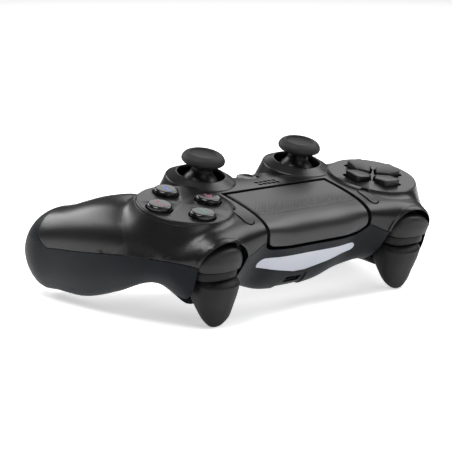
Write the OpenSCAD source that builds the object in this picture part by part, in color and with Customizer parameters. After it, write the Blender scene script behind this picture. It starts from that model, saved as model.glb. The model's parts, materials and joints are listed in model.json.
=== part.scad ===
// Gamepad controller: two grips, two thumb sticks, four face buttons, a direction pad, a touch pad,
// two shoulder buttons and two triggers.
// Modelled square to its control deck: x to the player's right, y away from the player, z out of the deck.
// x = 0 is the mid plane, y = 0 runs through both button groups, z = 0 is the top of their round plateaus.
// The seat turns it into its resting stance on the trigger tips and grip bottoms, with the floor at z = 0.

/* [Body] */
// Width over the two grips
body_w = 163; // [155:1:172]
// Rear edge of the middle, behind the row of buttons
rear_edge = 32; // [30:0.5:34]
// Front edge of the touch pad, ahead of the row of buttons
front_edge = 25.2; // [24:0.2:27]
// How far the grips reach behind the row of buttons
grip_reach = 64; // [60:1:68]
// How far the grip ends hang below the deck
grip_drop = 33.8; // [30:0.2:38]
// Depth of the seam below the deck at the front
seam_drop = 12; // [11:0.2:13]
// Depth of the belly below the seam at the light bar
belly_depth = 33; // [30:0.5:35]
// Lean of the front wall under the touch pad, travel back per unit of drop
front_lean = 0.56; // [0.45:0.01:0.62]
// Shell wall thickness
wall = 2; // [1.6:0.1:2.4]
// Open seam between the two shells
seam_gap = 0.3; // [0.2:0.05:0.5]
// Forward tilt when the controller rests on a table
rest_tilt = 13.2; // [10:0.1:16]

/* [Button groups] */
// Each group's centre from the mid plane
group_x = 50; // [48:0.5:52]
// Radius of the flat round plateau
plateau_r = 18.5; // [17.5:0.25:19.5]
// Spacing of each face button from the group centre
button_pitch = 11.8; // [11.4:0.1:12.4]
// Face button radius
button_r = 4.9; // [4.4:0.1:5.2]
// Height of the buttons above the plateau
button_proud = 1.9; // [1.4:0.1:2.4]
// Press travel of a face button
button_travel = 1; // [0.6:0.1:1.3]
// Clearance around every button in its opening
button_gap = 0.35; // [0.25:0.05:0.5]
// Reach of the direction pad from its centre
pad_reach = 12.6; // [12:0.1:13.2]
// Clearance around the arms of the direction pad, which sway as it tilts
pad_gap = 0.8; // [0.6:0.05:1]
// Width of one arm of the direction pad
pad_arm = 8.4; // [7.6:0.1:9]
// Height of the direction pad's arms above the plateau
pad_proud = 2.6; // [2:0.1:3]
// Radius of the home button
home_r = 4.6; // [4:0.1:5]
// Length of the two small oblong buttons
slim_length = 10.4; // [9:0.2:11.4]
// Width of the two small oblong buttons
slim_width = 4.2; // [3.6:0.1:4.8]

/* [Touch pad] */
// Touch pad half width
touch_half = 25.9; // [24.5:0.1:26.5]
// Rear edge of the touch pad, behind the row of buttons
touch_rear = 3.7; // [2.5:0.1:4]
// Open gap around the touch pad
touch_gap = 1.1; // [0.7:0.05:1.3]

/* [Thumb sticks] */
// Stick centre from the mid plane
stick_x = 25.6; // [25:0.1:26.2]
// Stick centre behind the row of buttons
stick_back = 21.3; // [20.5:0.1:22]
// Radius of the ring edge around a stick
ring_r = 14.1; // [13.4:0.1:14.8]
// Radius of the opening a stick moves in
mouth_r = 9.8; // [9.4:0.1:10.2]
// Rise of the ring from its edge to the opening
ring_rise = 2.1; // [1.6:0.1:2.6]
// Thumb cap radius
cap_r = 8.9; // [8.4:0.1:9.4]
// Height of the cap's rim above the deck
cap_top = 9.7; // [9:0.1:10.5]
// Depth of the tilt centre below the deck
tilt_depth = 8; // [7.6:0.1:8.4]
// Running clearance of the small axles
axle_gap = 0.05; // [0.02:0.01:0.1]

/* [Shoulders] */
// Shoulder button and trigger centre from the mid plane
shoulder_x = 49.6; // [48.6:0.1:50.6]
// Shoulder button half width
bumper_half = 10.3; // [9.6:0.1:10.8]
// Trigger half width at its top
trigger_half = 9.3; // [8.6:0.1:9.8]
// How far the trigger tip hangs below the deck
trigger_drop = 40.2; // [39:0.2:42]
// Front of the trigger at its top ledge
trigger_front = 31; // [30:0.2:32]
// Open gap beside the shoulder button in its arch
arch_gap = 1.2; // [0.9:0.1:1.5]
// Radius of the trigger's hinge pin
hinge_r = 1.5; // [1.2:0.1:1.8]

/* [Sockets] */
// Bore of the headset socket
headset_bore = 3.6; // [3.5:0.05:3.8]
// Headset socket from the mid plane
headset_x = 7; // [6:0.5:8]
// Width of the charging socket
charge_w = 7.6; // [7:0.1:8.4]
// Height of the charging socket
charge_h = 2.6; // [2.2:0.1:3]

/* [Hidden] */
half_w = body_w / 2;
cluster_floor = -wall;
fine = 32;
plain = 16;

// Blends two values or rows
function mix(a, b, t) = a + (b - a) * t;
// Smooth curve through four rows in turn
function spline(p, q, r, s, t) =
    0.5 * (2 * q + (r - p) * t + (2 * p - 5 * q + 4 * r - s) * t * t + (3 * q - p - 3 * r + s) * t * t * t);
// Signed power, for squared-off rounds
function power(v, e) = sign(v) * pow(abs(v), e);

// The body is a horseshoe of upright sections running from one grip, round the front, to the other grip.
// Each section spans from its inner end (crotch or rear edge) to its outer end (front or side).
// Columns: inner x y z, outer x y z, rise inner outer, drop inner outer, squareness rear front below, lean.
stations = [
    [0, -rear_edge, -11, 0, front_edge, -seam_drop, 10.2, 11.4, 11, belly_depth, 2.2, 3.3, 6, front_lean],
    [14, -rear_edge - 2, -11, 14, front_edge, -seam_drop, 10.2, 11.4, 11, belly_depth - 1.5, 2.2, 3.3, 5.5,
        front_lean],
    [26, -rear_edge - 4, -12, 26, front_edge, 2 - seam_drop, 10.8, 9.4, 11, belly_depth - 3.3, 2.4, 3.3, 4.6,
        front_lean - 0.06],
    [36, -rear_edge - 3, -14, 38, front_edge + 2, -1 - seam_drop, 12, 11.5, 12, belly_depth - 9.6, 2.6, 3.4, 3.2,
        0.4],
    [41, -rear_edge - 2, -17, half_w - 26.1, 30, -2 - seam_drop, 13.9, 11.3, 15, belly_depth - 11, 2.7, 4, 5.8,
        0.1],
    [44, -rear_edge - 3, -20, half_w - 13.6, 18.4, -2 - seam_drop, 15, 10.4, 16.2, 14.2, 2.4, 1.8, 2.8, 0.1],
    [47, 26 - grip_reach, -24, half_w - 7, 0, -18, 18.4, 14.6, 24, 19.2, 2.3, 2, 2.2, 0],
    [50, 19 - grip_reach, -29.6, half_w - 2.2, 42 - grip_reach, 8.6 - grip_drop, 19, 17.4, 24.4, 23.8,
        2.2, 2.2, 1.8, 0],
    [53, 9 - grip_reach, -1.7 - grip_drop, half_w, 21 - grip_reach, 1.8 - grip_drop, 16.6, 14.8, 22.2, 21,
        2.2, 2.2, 1.9, 0]
];
grip_row = stations[len(stations) - 1];
grip_before = stations[len(stations) - 2];
tip_length = 20;
tip_steps = 7;
tip_square = 2.75;
tip_sink = 1.45;
tip_turn = 88;
// Middle of a section
function middle(r) = [(r[0] + r[3]) / 2, (r[1] + r[4]) / 2, (r[2] + r[5]) / 2];
grip_axis = let(d = middle(grip_row) - middle(grip_before)) d / norm(d);
// The grip end closes with ever smaller copies of its last section
function tip_row(angle) =
    let(
        c = pow(cos(angle), 2 / tip_square),
        d = pow(cos(angle), tip_sink),
        m = middle(grip_row) + grip_axis * tip_length * pow(sin(angle), 2 / tip_square),
        hx = (grip_row[3] - grip_row[0]) / 2 * c,
        hy = (grip_row[4] - grip_row[1]) / 2 * c,
        hz = (grip_row[5] - grip_row[2]) / 2 * c
    )
    [m[0] - hx, m[1] - hy, m[2] - hz, m[0] + hx, m[1] + hy, m[2] + hz, grip_row[6] * c, grip_row[7] * c,
        grip_row[8] * d, grip_row[9] * d, grip_row[10], grip_row[11], grip_row[12], grip_row[13]];
sections = concat(stations, [for (k = [1 : tip_steps]) tip_row(tip_turn * k / tip_steps)]);
last_station = len(stations) - 1;
last_section = len(sections) - 1;
function mirrored(r) =
    [for (i = [0 : len(r) - 1]) i == 0 || i == 3 ? -r[i] : r[i]];
function section(i) = i < 0 ? mirrored(sections[-i]) : sections[min(i, last_section)];
function section_at(u) =
    let(i = min(last_section - 1, floor(u)), t = u - i)
    spline(section(i - 1), section(i), section(i + 1), section(i + 2), t);
// One point of a section, inset by a wall thickness, at an angle from the outer end up and round
function section_point(r, side, inset, angle) =
    let(
        c = cos(angle),
        s = sin(angle),
        e = 2 / (s < 0 ? r[12] : c >= 0 ? r[11] : r[10]),
        reach = norm([r[3] - r[0], r[4] - r[1]]) / 2,
        w = power(c, e) * (reach - inset) / reach,
        v = pow(abs(s), e),
        m = (w + 1) / 2,
        h = s >= 0 ? (mix(r[6], r[7], m) - inset) * v : -(mix(r[8], r[9], m) - inset) * v,
        lean = s < 0 ? r[13] * h * m : 0
    )
    [side * mix(r[0], r[3], m), mix(r[1], r[4], m) + lean, mix(r[2], r[5], m) + h];
// Closed ring of a section between two angles, lifted by a seam allowance
function section_ring(u, side, inset, from, to, count, lift) =
    let(r = section_at(u))
    [for (k = [0 : count]) if (k < count || to - from < 360)
        section_point(r, side, inset, from + (to - from) * k / count) + [0, 0, lift]];
// Places along the horseshoe where sections are drawn, up to a last one
function places(steps, last) =
    let(flat = min(steps, flat_steps))
    concat(
        [for (i = [0 : flat_last * flat]) i / flat],
        [for (i = [flat_last * steps + 1 : 1 : min(last, last_station) * steps]) i / steps],
        [for (k = [last_station + 1 : 1 : last]) k]
    );
function body_rings(steps, last, inset, from, to, count, lift = 0) =
    let(us = places(steps, last))
    concat(
        [for (i = [len(us) - 1 : -1 : 1]) section_ring(us[i], -1, inset, from, to, count, lift)],
        [for (u = us) section_ring(u, 1, inset, from, to, count, lift)]
    );
// Skin over a row of closed rings that run towards +x or downwards
module skin(rings) {
    count = len(rings[0]);
    rows = len(rings);
    points = [for (r = rings) for (p = r) p];
    sides = [
        for (i = [0 : rows - 2]) for (j = [0 : count - 1])
            let(a = i * count + j, b = i * count + (j + 1) % count)
            each [[a, b + count, b], [a, a + count, b + count]]
    ];
    start = [for (j = [0 : count - 1]) j];
    end = [for (j = [count - 1 : -1 : 0]) (rows - 1) * count + j];
    polyhedron(points = points, faces = concat(sides, [start], [end]));
}

body_steps = 3;
flat_steps = 2;
flat_last = 3;
body_count = 28;
room_steps = 1;
room_count = 16;
room_last = last_section - 2;
centre_last = 4;
grip_first = 5;
// The hollow inside, one wall thickness in
module body_room(inset) {
    skin(body_rings(room_steps, room_last, inset, 0, 360, room_count));
}
// The middle of the body alone, for the pieces let into it
module centre_form() {
    skin(body_rings(body_steps, centre_last, 0, 0, 360, body_count));
}
module centre_room(inset) {
    skin(body_rings(room_steps, centre_last, inset, 0, 360, room_count));
}
// One stretch of the body's right half, from one place along the horseshoe to another
module stretch_form(first, last) {
    skin([
        for (u = places(body_steps, last_section))
            if (u >= first && u <= last)
                section_ring(u, 1, 0, 0, 360, body_count, 0)
    ]);
}

// Rows of the shoulder button and of the arch over it: z, centre x, half width, front y, back y,
// squareness front back
bumper_foot = -15.8;
bumper_top = -7.2;
arch_top = -5.8;
bumper_back = 19;
function shoulder_rows(top) = [
    [bumper_foot, shoulder_x + 0.4, bumper_half, trigger_front - 1, bumper_back, 2.4, 3],
    [mix(bumper_foot, top, 0.38), shoulder_x + 0.6, bumper_half + 0.1, trigger_front - 0.6, bumper_back,
        2.4, 3],
    [mix(bumper_foot, top, 0.62), shoulder_x + 0.1, bumper_half - 1, trigger_front - 0.8, bumper_back,
        2.4, 3],
    [mix(bumper_foot, top, 0.82), shoulder_x - 0.5, bumper_half - 2.9, trigger_front - 1.2, bumper_back + 0.5,
        2.4, 3],
    [mix(bumper_foot, top, 0.95), shoulder_x - 1.1, bumper_half - 5.4, trigger_front - 1.9, bumper_back + 1.5,
        2.4, 2.6],
    [top, shoulder_x - 1.4, bumper_half - 7.6, trigger_front - 2.8, bumper_back + 3, 2.2, 2]
];
bumper_rows = shoulder_rows(bumper_top);
// Trigger rows from its tip up to the crease under its ledge; its flanks reach back to the hinge
trigger_x = shoulder_x - 1;
trigger_top = -20.5;
trigger_back = 16.2;
ledge_high = 2;
ledge_deep = 2.6;
trigger_rows = [
    [-trigger_drop, trigger_x + 0.1, 1.1, trigger_front - 3.6, trigger_back + 10.2, 2, 2],
    [0.9 - trigger_drop, trigger_x - 0.2, 3.4, trigger_front - 2.8, trigger_back + 8.8, 2.2, 2.2],
    [3.7 - trigger_drop, trigger_x - 0.5, trigger_half - 3, trigger_front - 2.3, trigger_back + 6.6, 2.4, 2.6],
    [8.2 - trigger_drop, trigger_x - 0.4, trigger_half - 1.3, trigger_front - 1.6, trigger_back + 2.7, 2.5, 3.4],
    [trigger_top - 6.5, trigger_x - 0.1, trigger_half - 0.2, trigger_front - 0.6, trigger_back, 2.6, 5],
    [trigger_top - ledge_high, trigger_x, trigger_half, trigger_front, trigger_back, 2.6, 5]
];
trigger_ledge = [trigger_top, trigger_x, trigger_half - 0.4, trigger_front - ledge_deep, trigger_back, 2.6, 5];
tongue_count = 24;
tongue_steps = 2;
function tongue_ring(r) =
    [for (k = [0 : tongue_count - 1])
        let(
            a = 360 * k / tongue_count,
            e = 2 / (sin(a) < 0 ? r[6] : r[5]),
            c = power(cos(a), e),
            s = power(sin(a), e)
        )
        [r[1] + r[2] * c, (r[3] + r[4]) / 2 + (r[3] - r[4]) / 2 * s, r[0]]];
function smooth_rows(rows) =
    let(n = len(rows))
    [for (i = [0 : (n - 1) * tongue_steps])
        let(k = min(n - 2, floor(i / tongue_steps)), t = i / tongue_steps - k)
        spline(rows[max(0, k - 1)], rows[k], rows[k + 1], rows[min(n - 1, k + 2)], t)];
// Smooth form through rows, closed by any further rows beyond a crease
module tongue(rows, beyond = []) {
    skin([for (r = concat(smooth_rows(rows), beyond)) tongue_ring(r)]);
}

// Stance: tilted forward, the lowest point on the floor, the length of it centred
function tilt_y(p) = p[1] * cos(rest_tilt) + p[2] * sin(rest_tilt);
function tilt_z(p) = p[2] * cos(rest_tilt) - p[1] * sin(rest_tilt);
grip_places = [last_station - 2 : 1 : last_section];
grip_points = [for (u = grip_places) each section_ring(u, 1, 0, 0, 360, body_count, 0)];
bumper_points = [for (r = smooth_rows(bumper_rows)) each tongue_ring(r)];
trigger_points = [for (r = smooth_rows(trigger_rows)) each tongue_ring(r)];
floor_z = min(min([for (p = grip_points) tilt_z(p)]), min([for (p = trigger_points) tilt_z(p)]));
front_y = max([for (p = concat(bumper_points, trigger_points)) tilt_y(p)]);
back_y = min([for (p = grip_points) tilt_y(p)]);
seat_y = -(front_y + back_y) / 2;
module seat() {
    translate([0, seat_y, -floor_z])
        rotate([-rest_tilt, 0, 0])
            children();
}
// The player's right (1) or left (-1) half
module half(side) {
    if (side > 0)
        children();
    else
        mirror([1, 0, 0])
            children();
}
module both_halves() {
    half(1)
        children();
    half(-1)
        children();
}

// Heights of the layers inside
board_top = -17;
board_thick = 1.2;
frame_top = board_top - board_thick;
frame_thick = 1.2;
frame_low = frame_top - frame_thick;
mat_thick = 1;
dome_top = -5;
dome_pressed = 1.2;
mat_low = dome_top - button_travel - dome_pressed - mat_thick;
seat_plate = 1.2;
mat_r = button_pitch + 3.3;

// Face button layers below the plateau
flange_gap = 0.15;
flange_thick = 1.2;
flange_wide = 0.8;
foot_r = 3;

// Colours of the materials
charcoal = [0.13, 0.13, 0.14];
slate = [0.17, 0.17, 0.19];
black = [0.07, 0.07, 0.08];
grey = [0.45, 0.46, 0.48];
steel = [0.7, 0.71, 0.73];
frost = [0.8, 0.81, 0.86];
green = [0.1, 0.32, 0.2];
copper = [0.72, 0.5, 0.25];

// The top shell ends in a round tongue on each grip, where the bottom shell takes over
tongue_y = 22 - grip_reach;
tongue_z = -17;
tongue_r = 16;
module grip_end(allowance) {
    width = body_w + 20;
    rotate([90, 0, 90])
        translate([0, 0, -width / 2])
            linear_extrude(width)
                difference() {
                    translate([-2 * body_w, -body_w])
                        square([2 * body_w + tongue_y, 2 * body_w]);
                    translate([tongue_y, tongue_z])
                        circle(r = tongue_r + allowance, $fn = fine);
                    translate([tongue_y - tongue_r - allowance, tongue_z])
                        square([body_w, body_w]);
                }
}

// Cuts that both shells share
pad_floor = -seam_drop;
touch_corner = 5;
// Front view of the touch pad, rounded at its lower corners, grown by a gap
module touch_prism(grow) {
    half = touch_half + grow;
    round = touch_corner + grow;
    translate([0, front_edge * 2, 0])
        rotate([90, 0, 0])
            linear_extrude(front_edge * 2 + touch_rear + grow)
                hull() {
                    for (side = [-1, 1])
                        translate([side * (half - round), pad_floor - grow + round])
                            circle(r = round, $fn = fine);
                    translate([-half, 0])
                        square([2 * half, body_w]);
                }
}
module touch_opening() {
    touch_prism(touch_gap);
}
bay_back = 13;
bay_rows = smooth_rows(shoulder_rows(arch_top));
// Arched opening over the shoulder button, running straight down past the trigger
lip_back = 15.6;
lip_top = -25.5;
module shoulder_bay() {
    difference() {
        arch_prism();
        translate([0, bay_back - 1, lip_top - body_w])
            cube([body_w, lip_back - bay_back + 1, body_w]);
    }
}
module arch_prism() {
    outer = [for (r = bay_rows) [r[1] + r[2] + arch_gap, r[0]]];
    last = len(bay_rows) - 1;
    inner = [for (i = [last : -1 : 0]) [bay_rows[i][1] - bay_rows[i][2] - arch_gap, bay_rows[i][0]]];
    crown = bay_rows[last];
    outline = concat(
        [[outer[0][0], -body_w]],
        outer,
        [[crown[1], crown[0] + arch_gap]],
        inner,
        [[inner[len(inner) - 1][0], -body_w]]
    );
    translate([0, bay_back, 0])
        rotate([90, 0, 0])
            mirror([0, 0, 1])
                linear_extrude(body_w)
                    polygon(outline);
}

// Case screws: place across, place along, height where the two posts meet
screw_places = [
    [41, -18, -20],
    [64, -16, -27]
];
screw_r = 1.2;
screw_head_r = 2.2;
screw_head = 1.6;
screw_length = 11;
screw_gap = 0.1;
screw_seat = 2;
// Height a screw's head bears at
function seat_under(p) = p[2] - seam_gap - screw_seat;
post_r = 2.8;
sleeve_r = 3.7;

// Rumble motors in the grips
motor_x = 64;
motor_z = -33;
motor_r = 6;
motor_front = -24;
motor_back = -38;
saddle_gap = 0.25;

// Speaker under its grille
speaker_y = -9.7;
speaker_r = 5.5;
speaker_top = -3.6;
speaker_thick = 2.8;
speaker_gap = 0.15;
grille_pitch = 2.3;
grille_r = 0.75;
grille_ring = 0.9;

// Home button between the sticks
home_y = -stick_back - 0.6;
home_top = -2.6;
// Small oblong buttons between the touch pad and the plateaus
slim_x = 33;
slim_y = 16;

// One point-ended arm of the direction pad, reaching towards +y, grown by a clearance
pad_tip = 2;
pad_taper = 3.6;
module pad_outline(grow) {
    offset(delta = grow)
        polygon([
            [0, pad_tip],
            [pad_arm / 2, pad_tip + pad_taper],
            [pad_arm / 2, pad_reach - 1],
            [pad_arm / 2 - 1, pad_reach],
            [1 - pad_arm / 2, pad_reach],
            [-pad_arm / 2, pad_reach - 1],
            [-pad_arm / 2, pad_tip + pad_taper]
        ]);
}
module slim_outline(grow) {
    hull()
        for (s = [-1, 1])
            translate([0, s * (slim_length - slim_width) / 2])
                circle(d = slim_width + 2 * grow, $fn = plain);
}

// Pivot of the touch pad
touch_pin_y = 18;
touch_pin_z = -8.5;
touch_pin_r = 1.2;
touch_rib = 2.6;

pod_foot = 17;
plateau_foot = 21;
plateau_depth = 6;
pod_depth = 10;
ring_edge_z = -0.25;
// Outside of the top: the deck half of the body with its plateaus and stick rings
module top_form() {
    skin(body_rings(body_steps, last_section, 0, 0, 180, body_count / 2, seam_gap / 2));
    both_halves() {
        translate([group_x, 0, -plateau_depth])
            cylinder(r1 = plateau_foot, r2 = plateau_r, h = plateau_depth, $fn = fine);
        translate([stick_x, -stick_back, ring_edge_z - pod_depth])
            cylinder(r1 = pod_foot, r2 = ring_r, h = pod_depth, $fn = fine);
        translate([stick_x, -stick_back, ring_edge_z])
            cylinder(r1 = ring_r, r2 = mouth_r, h = ring_rise, $fn = fine);
    }
}
// Inside of the top: the hollow with the undersides of plateaus and rings
module top_room() {
    body_room(wall);
    both_halves() {
        translate([group_x, 0, -plateau_depth - 6])
            cylinder(r = plateau_r - 0.6, h = plateau_depth + 6 + cluster_floor, $fn = fine);
        translate([stick_x, -stick_back, ring_edge_z - pod_depth])
            cylinder(r1 = pod_foot - wall - 1, r2 = ring_r - wall, h = pod_depth - 0.6, $fn = plain * 1.5);
        translate([stick_x, -stick_back, ring_edge_z - 0.7])
            cylinder(r1 = ring_r - wall, r2 = mouth_r, h = ring_rise - 0.9, $fn = plain * 1.5);
    }
}
module top_cuts() {
    tall = 12;
    touch_opening();
    grip_end(0);
    for (turn = [0 : 3])
        translate([group_x, 0, 0])
            rotate(90 * turn)
                translate([button_pitch, 0, -tall])
                    cylinder(r = button_r + button_gap, h = 2 * tall, $fn = plain * 1.5);
    for (turn = [0 : 3])
        translate([-group_x, 0, -tall])
            rotate(90 * turn)
                linear_extrude(2 * tall)
                    pad_outline(pad_gap);
    both_halves() {
        shoulder_bay();
        translate([stick_x, -stick_back, -tall])
            cylinder(r = mouth_r - 0.02, h = 2 * tall, $fn = fine);
        translate([slim_x, slim_y, -tall])
            linear_extrude(2 * tall)
                slim_outline(button_gap);
        for (row = [-0.5, 0.5], column = [0 : 2])
            translate([grille_pitch * column, speaker_y + row * grille_pitch * 1.15, -tall])
                cylinder(r = grille_r, h = 2 * tall, $fn = 6);
    }
    translate([0, home_y, -tall])
        cylinder(r = home_r + button_gap, h = 2 * tall, $fn = plain * 1.5);
    socket_cuts();
}
// Openings of the sockets in the rear wall
jack_z = -14.1;
jack_nose_r = 2.8;
link_x = -8;
link_w = 11;
link_h = 4;
socket_run = 20;
module socket_cuts() {
    translate([headset_x, -rear_edge + 4, jack_z])
        rotate([90, 0, 0])
            cylinder(r = jack_nose_r + socket_gap, h = socket_run, $fn = plain);
    translate([link_x, 4 - rear_edge - socket_run / 2, jack_z])
        cube([link_w + 2 * socket_gap, socket_run, link_h + 2 * socket_gap], center = true);
}
// Posts and ribs under the deck, trimmed to the body
module top_ribs() {
    intersection() {
        body_room(wall / 2);
        union() {
            both_halves() {
                for (p = screw_places)
                    translate([p[0], p[1], p[2]])
                        cylinder(r = post_r, h = -p[2], $fn = plain);
                translate([touch_half + touch_gap + 0.3, touch_pin_y - 3, touch_pin_z - 2.5])
                    cube([touch_rib, 6, -touch_pin_z]);
            }
            translate([0, speaker_y, speaker_top - speaker_thick])
                difference() {
                    cylinder(r = speaker_r + speaker_gap + grille_ring, h = speaker_thick + 2.5, $fn = plain);
                    translate([0, 0, -1])
                        cylinder(r = speaker_r + speaker_gap, h = speaker_thick + 1.1, $fn = plain);
                }
        }
    }
}
module top_shell() {
    color(charcoal)
        difference() {
            union() {
                difference() {
                    top_form();
                    top_room();
                }
                top_ribs();
            }
            top_cuts();
            both_halves() {
                for (p = screw_places)
                    translate([p[0], p[1], p[2] - 1])
                        cylinder(r = screw_r + screw_gap, h = screw_length, $fn = plain);
                translate([touch_half - 2, touch_pin_y, touch_pin_z])
                    rotate([0, 90, 0])
                        cylinder(r = touch_pin_r + axle_gap + 0.05, h = 12, $fn = plain * 1.5);
            }
        }
}

// Window of the light bar, seen from the front
lens_top = -18.2;
lens_deep = -29;
lens_half = 26;
module lens_outline(grow) {
    offset(delta = grow)
        polygon([
            [lens_half - 2, lens_top],
            [lens_half, lens_top - 2],
            [lens_half - 0.6, lens_top - 4.4],
            [3, lens_deep],
            [-3, lens_deep],
            [0.6 - lens_half, lens_top - 4.4],
            [-lens_half, lens_top - 2],
            [2 - lens_half, lens_top]
        ]);
}
module lens_prism(grow) {
    translate([0, body_w, 0])
        rotate([90, 0, 0])
            linear_extrude(body_w - 6)
                lens_outline(grow);
}
charge_z = -33.6;
charge_front = 12.4;
charge_deep = 6;
frame_posts = [[30, -9], [30, 14]];
bracket_low = -22;
bracket_posts = [trigger_x - 1.7, trigger_x + 1.7];
board_ribs_x = 11;
charge_board_top = charge_z + charge_h / 2 + 1;
socket_gap = 0.25;
// Shallow recess with slanting ends round the charging socket, cut down to a slighter wall
recess_half = 7;
recess_high = 3;
recess_slant = 1.6;
recess_deep = 1.1;
module charge_recess() {
    low = charge_z - recess_high;
    difference() {
        translate([0, charge_front - charge_deep, 0])
            rotate([90, 0, 0])
                mirror([0, 0, 1])
                    linear_extrude(body_w)
                        polygon([
                            [-recess_half - recess_slant, low],
                            [recess_half + recess_slant, low],
                            [recess_half, charge_z + recess_high],
                            [-recess_half, charge_z + recess_high]
                        ]);
        centre_room(recess_deep);
    }
}
// Posts, saddles and ribs on the floor of the bottom shell, trimmed to the body
module bottom_ribs() {
    intersection() {
        body_room(wall / 2);
        union() {
            both_halves() {
                for (p = screw_places)
                    translate([p[0], p[1], -body_w / 2])
                        cylinder(r = sleeve_r, h = body_w / 2 + p[2] - seam_gap, $fn = plain);
                for (p = frame_posts)
                    translate([p[0], p[1], -body_w / 2])
                        cylinder(r = 2.2, h = body_w / 2 + frame_low, $fn = plain / 2);
                for (x = bracket_posts)
                    translate([x, bay_back - 1.3, -body_w / 2])
                        cylinder(r = 1.2, h = body_w / 2 + bracket_low, $fn = plain / 2);
                difference() {
                    for (y = [motor_back + 2, motor_front - 4])
                        translate([motor_x - motor_r - 1, y, -body_w / 2])
                            cube([2 * motor_r + 2, 2, body_w / 2 + motor_z - 0.5]);
                    translate([motor_x, 0, motor_z])
                        rotate([90, 0, 0])
                            cylinder(r = motor_r + saddle_gap, h = body_w, $fn = plain * 1.5);
                }
                translate([board_ribs_x, charge_board_rear, -body_w / 2])
                    cube([1.6, charge_board_long, body_w / 2 + charge_board_top - charge_board_thick]);
            }
        }
    }
}
module bottom_form() {
    skin(body_rings(body_steps, last_section, 0, 180, 360, body_count / 2, -seam_gap / 2));
    both_halves()
        intersection() {
            stretch_form(grip_first, last_section);
            grip_end(seam_gap);
        }
}
module bottom_shell() {
    color(slate)
        difference() {
            union() {
                difference() {
                    bottom_form();
                    body_room(wall);
                }
                bottom_ribs();
            }
            touch_opening();
            lens_prism(0.12);
            socket_cuts();
            both_halves() {
                shoulder_bay();
                for (p = screw_places) {
                    translate([p[0], p[1], p[2] - 10])
                        cylinder(r = screw_r + screw_gap, h = 20, $fn = plain);
                    translate([p[0], p[1], -body_w])
                        cylinder(r = screw_head_r + 0.4, h = body_w + seat_under(p), $fn = plain);
                }
            }
            charge_recess();
            translate([0, charge_front - charge_deep / 2, charge_z])
                cube([charge_w + 2 * socket_gap, charge_deep + 2, charge_h + 2 * socket_gap], center = true);
        }
}

// The light bar's lens follows the wall it is let into
module light_lens() {
    color(frost)
        difference() {
            intersection() {
                centre_form();
                lens_prism(0);
            }
            centre_room(wall);
        }
}

// The touch pad: a folded plate that carries on the deck and the front wall, with two hinge ears
ear_thick = 3;
touch_plate = 2;
module touchpad() {
    color(charcoal) {
        difference() {
            intersection() {
                centre_form();
                touch_prism(0);
            }
            centre_room(touch_plate);
        }
        both_halves() {
            translate([touch_half - ear_thick, touch_pin_y - 2.2, touch_pin_z - 2.2])
                cube([ear_thick, 4.4, 7.2]);
            translate([touch_half - ear_thick, touch_pin_y, touch_pin_z])
                rotate([0, 90, 0])
                    cylinder(r = touch_pin_r, h = ear_thick + touch_gap + touch_rib - 0.4, $fn = fine);
        }
    }
}
// Sensor board glued under the touch pad
sensor_top = -3.5;
sensor_thick = 1;
sensor_half = touch_half - 5.9;
sensor_long = 15;
module touch_board() {
    color(green)
        translate([-sensor_half, 0.7 - touch_rear, sensor_top - sensor_thick])
            cube([2 * sensor_half, sensor_long, sensor_thick]);
}

// Face button: a rounded cap with a flange under the plateau and a foot on its rubber dome
button_edge = 0.9;
module face_button(turn) {
    flange_top = cluster_floor - flange_gap;
    color(black)
        translate([group_x, 0, 0])
            rotate(turn)
                translate([button_pitch, 0, 0])
                    rotate_extrude($fn = fine)
                        polygon([
                            [0, dome_top],
                            [foot_r, dome_top],
                            [foot_r, flange_top - flange_thick],
                            [button_r + flange_wide, flange_top - flange_thick],
                            [button_r + flange_wide, flange_top],
                            [button_r, flange_top],
                            [button_r, button_proud - button_edge],
                            [button_r - button_edge * 0.3, button_proud - button_edge * 0.3],
                            [button_r - button_edge, button_proud],
                            [0, button_proud]
                        ]);
}
module button_right() {
    face_button(0);
}
module button_top() {
    face_button(90);
}
module button_left() {
    face_button(180);
}
module button_bottom() {
    face_button(270);
}
// Rubber sheet with one dome under each pressing point
dome_base_r = 3.2;
dome_tip_r = 2.4;
module mat(x, pitch) {
    color(grey)
        translate([x, 0, 0]) {
            translate([0, 0, mat_low])
                cylinder(r = mat_r, h = mat_thick, $fn = fine);
            for (turn = [0 : 3])
                rotate(90 * turn)
                    translate([pitch, 0, mat_low + mat_thick])
                        cylinder(r1 = dome_base_r, r2 = dome_tip_r, h = button_travel + dome_pressed, $fn = plain);
        }
}
module button_mat() {
    mat(group_x, button_pitch);
}
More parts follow.
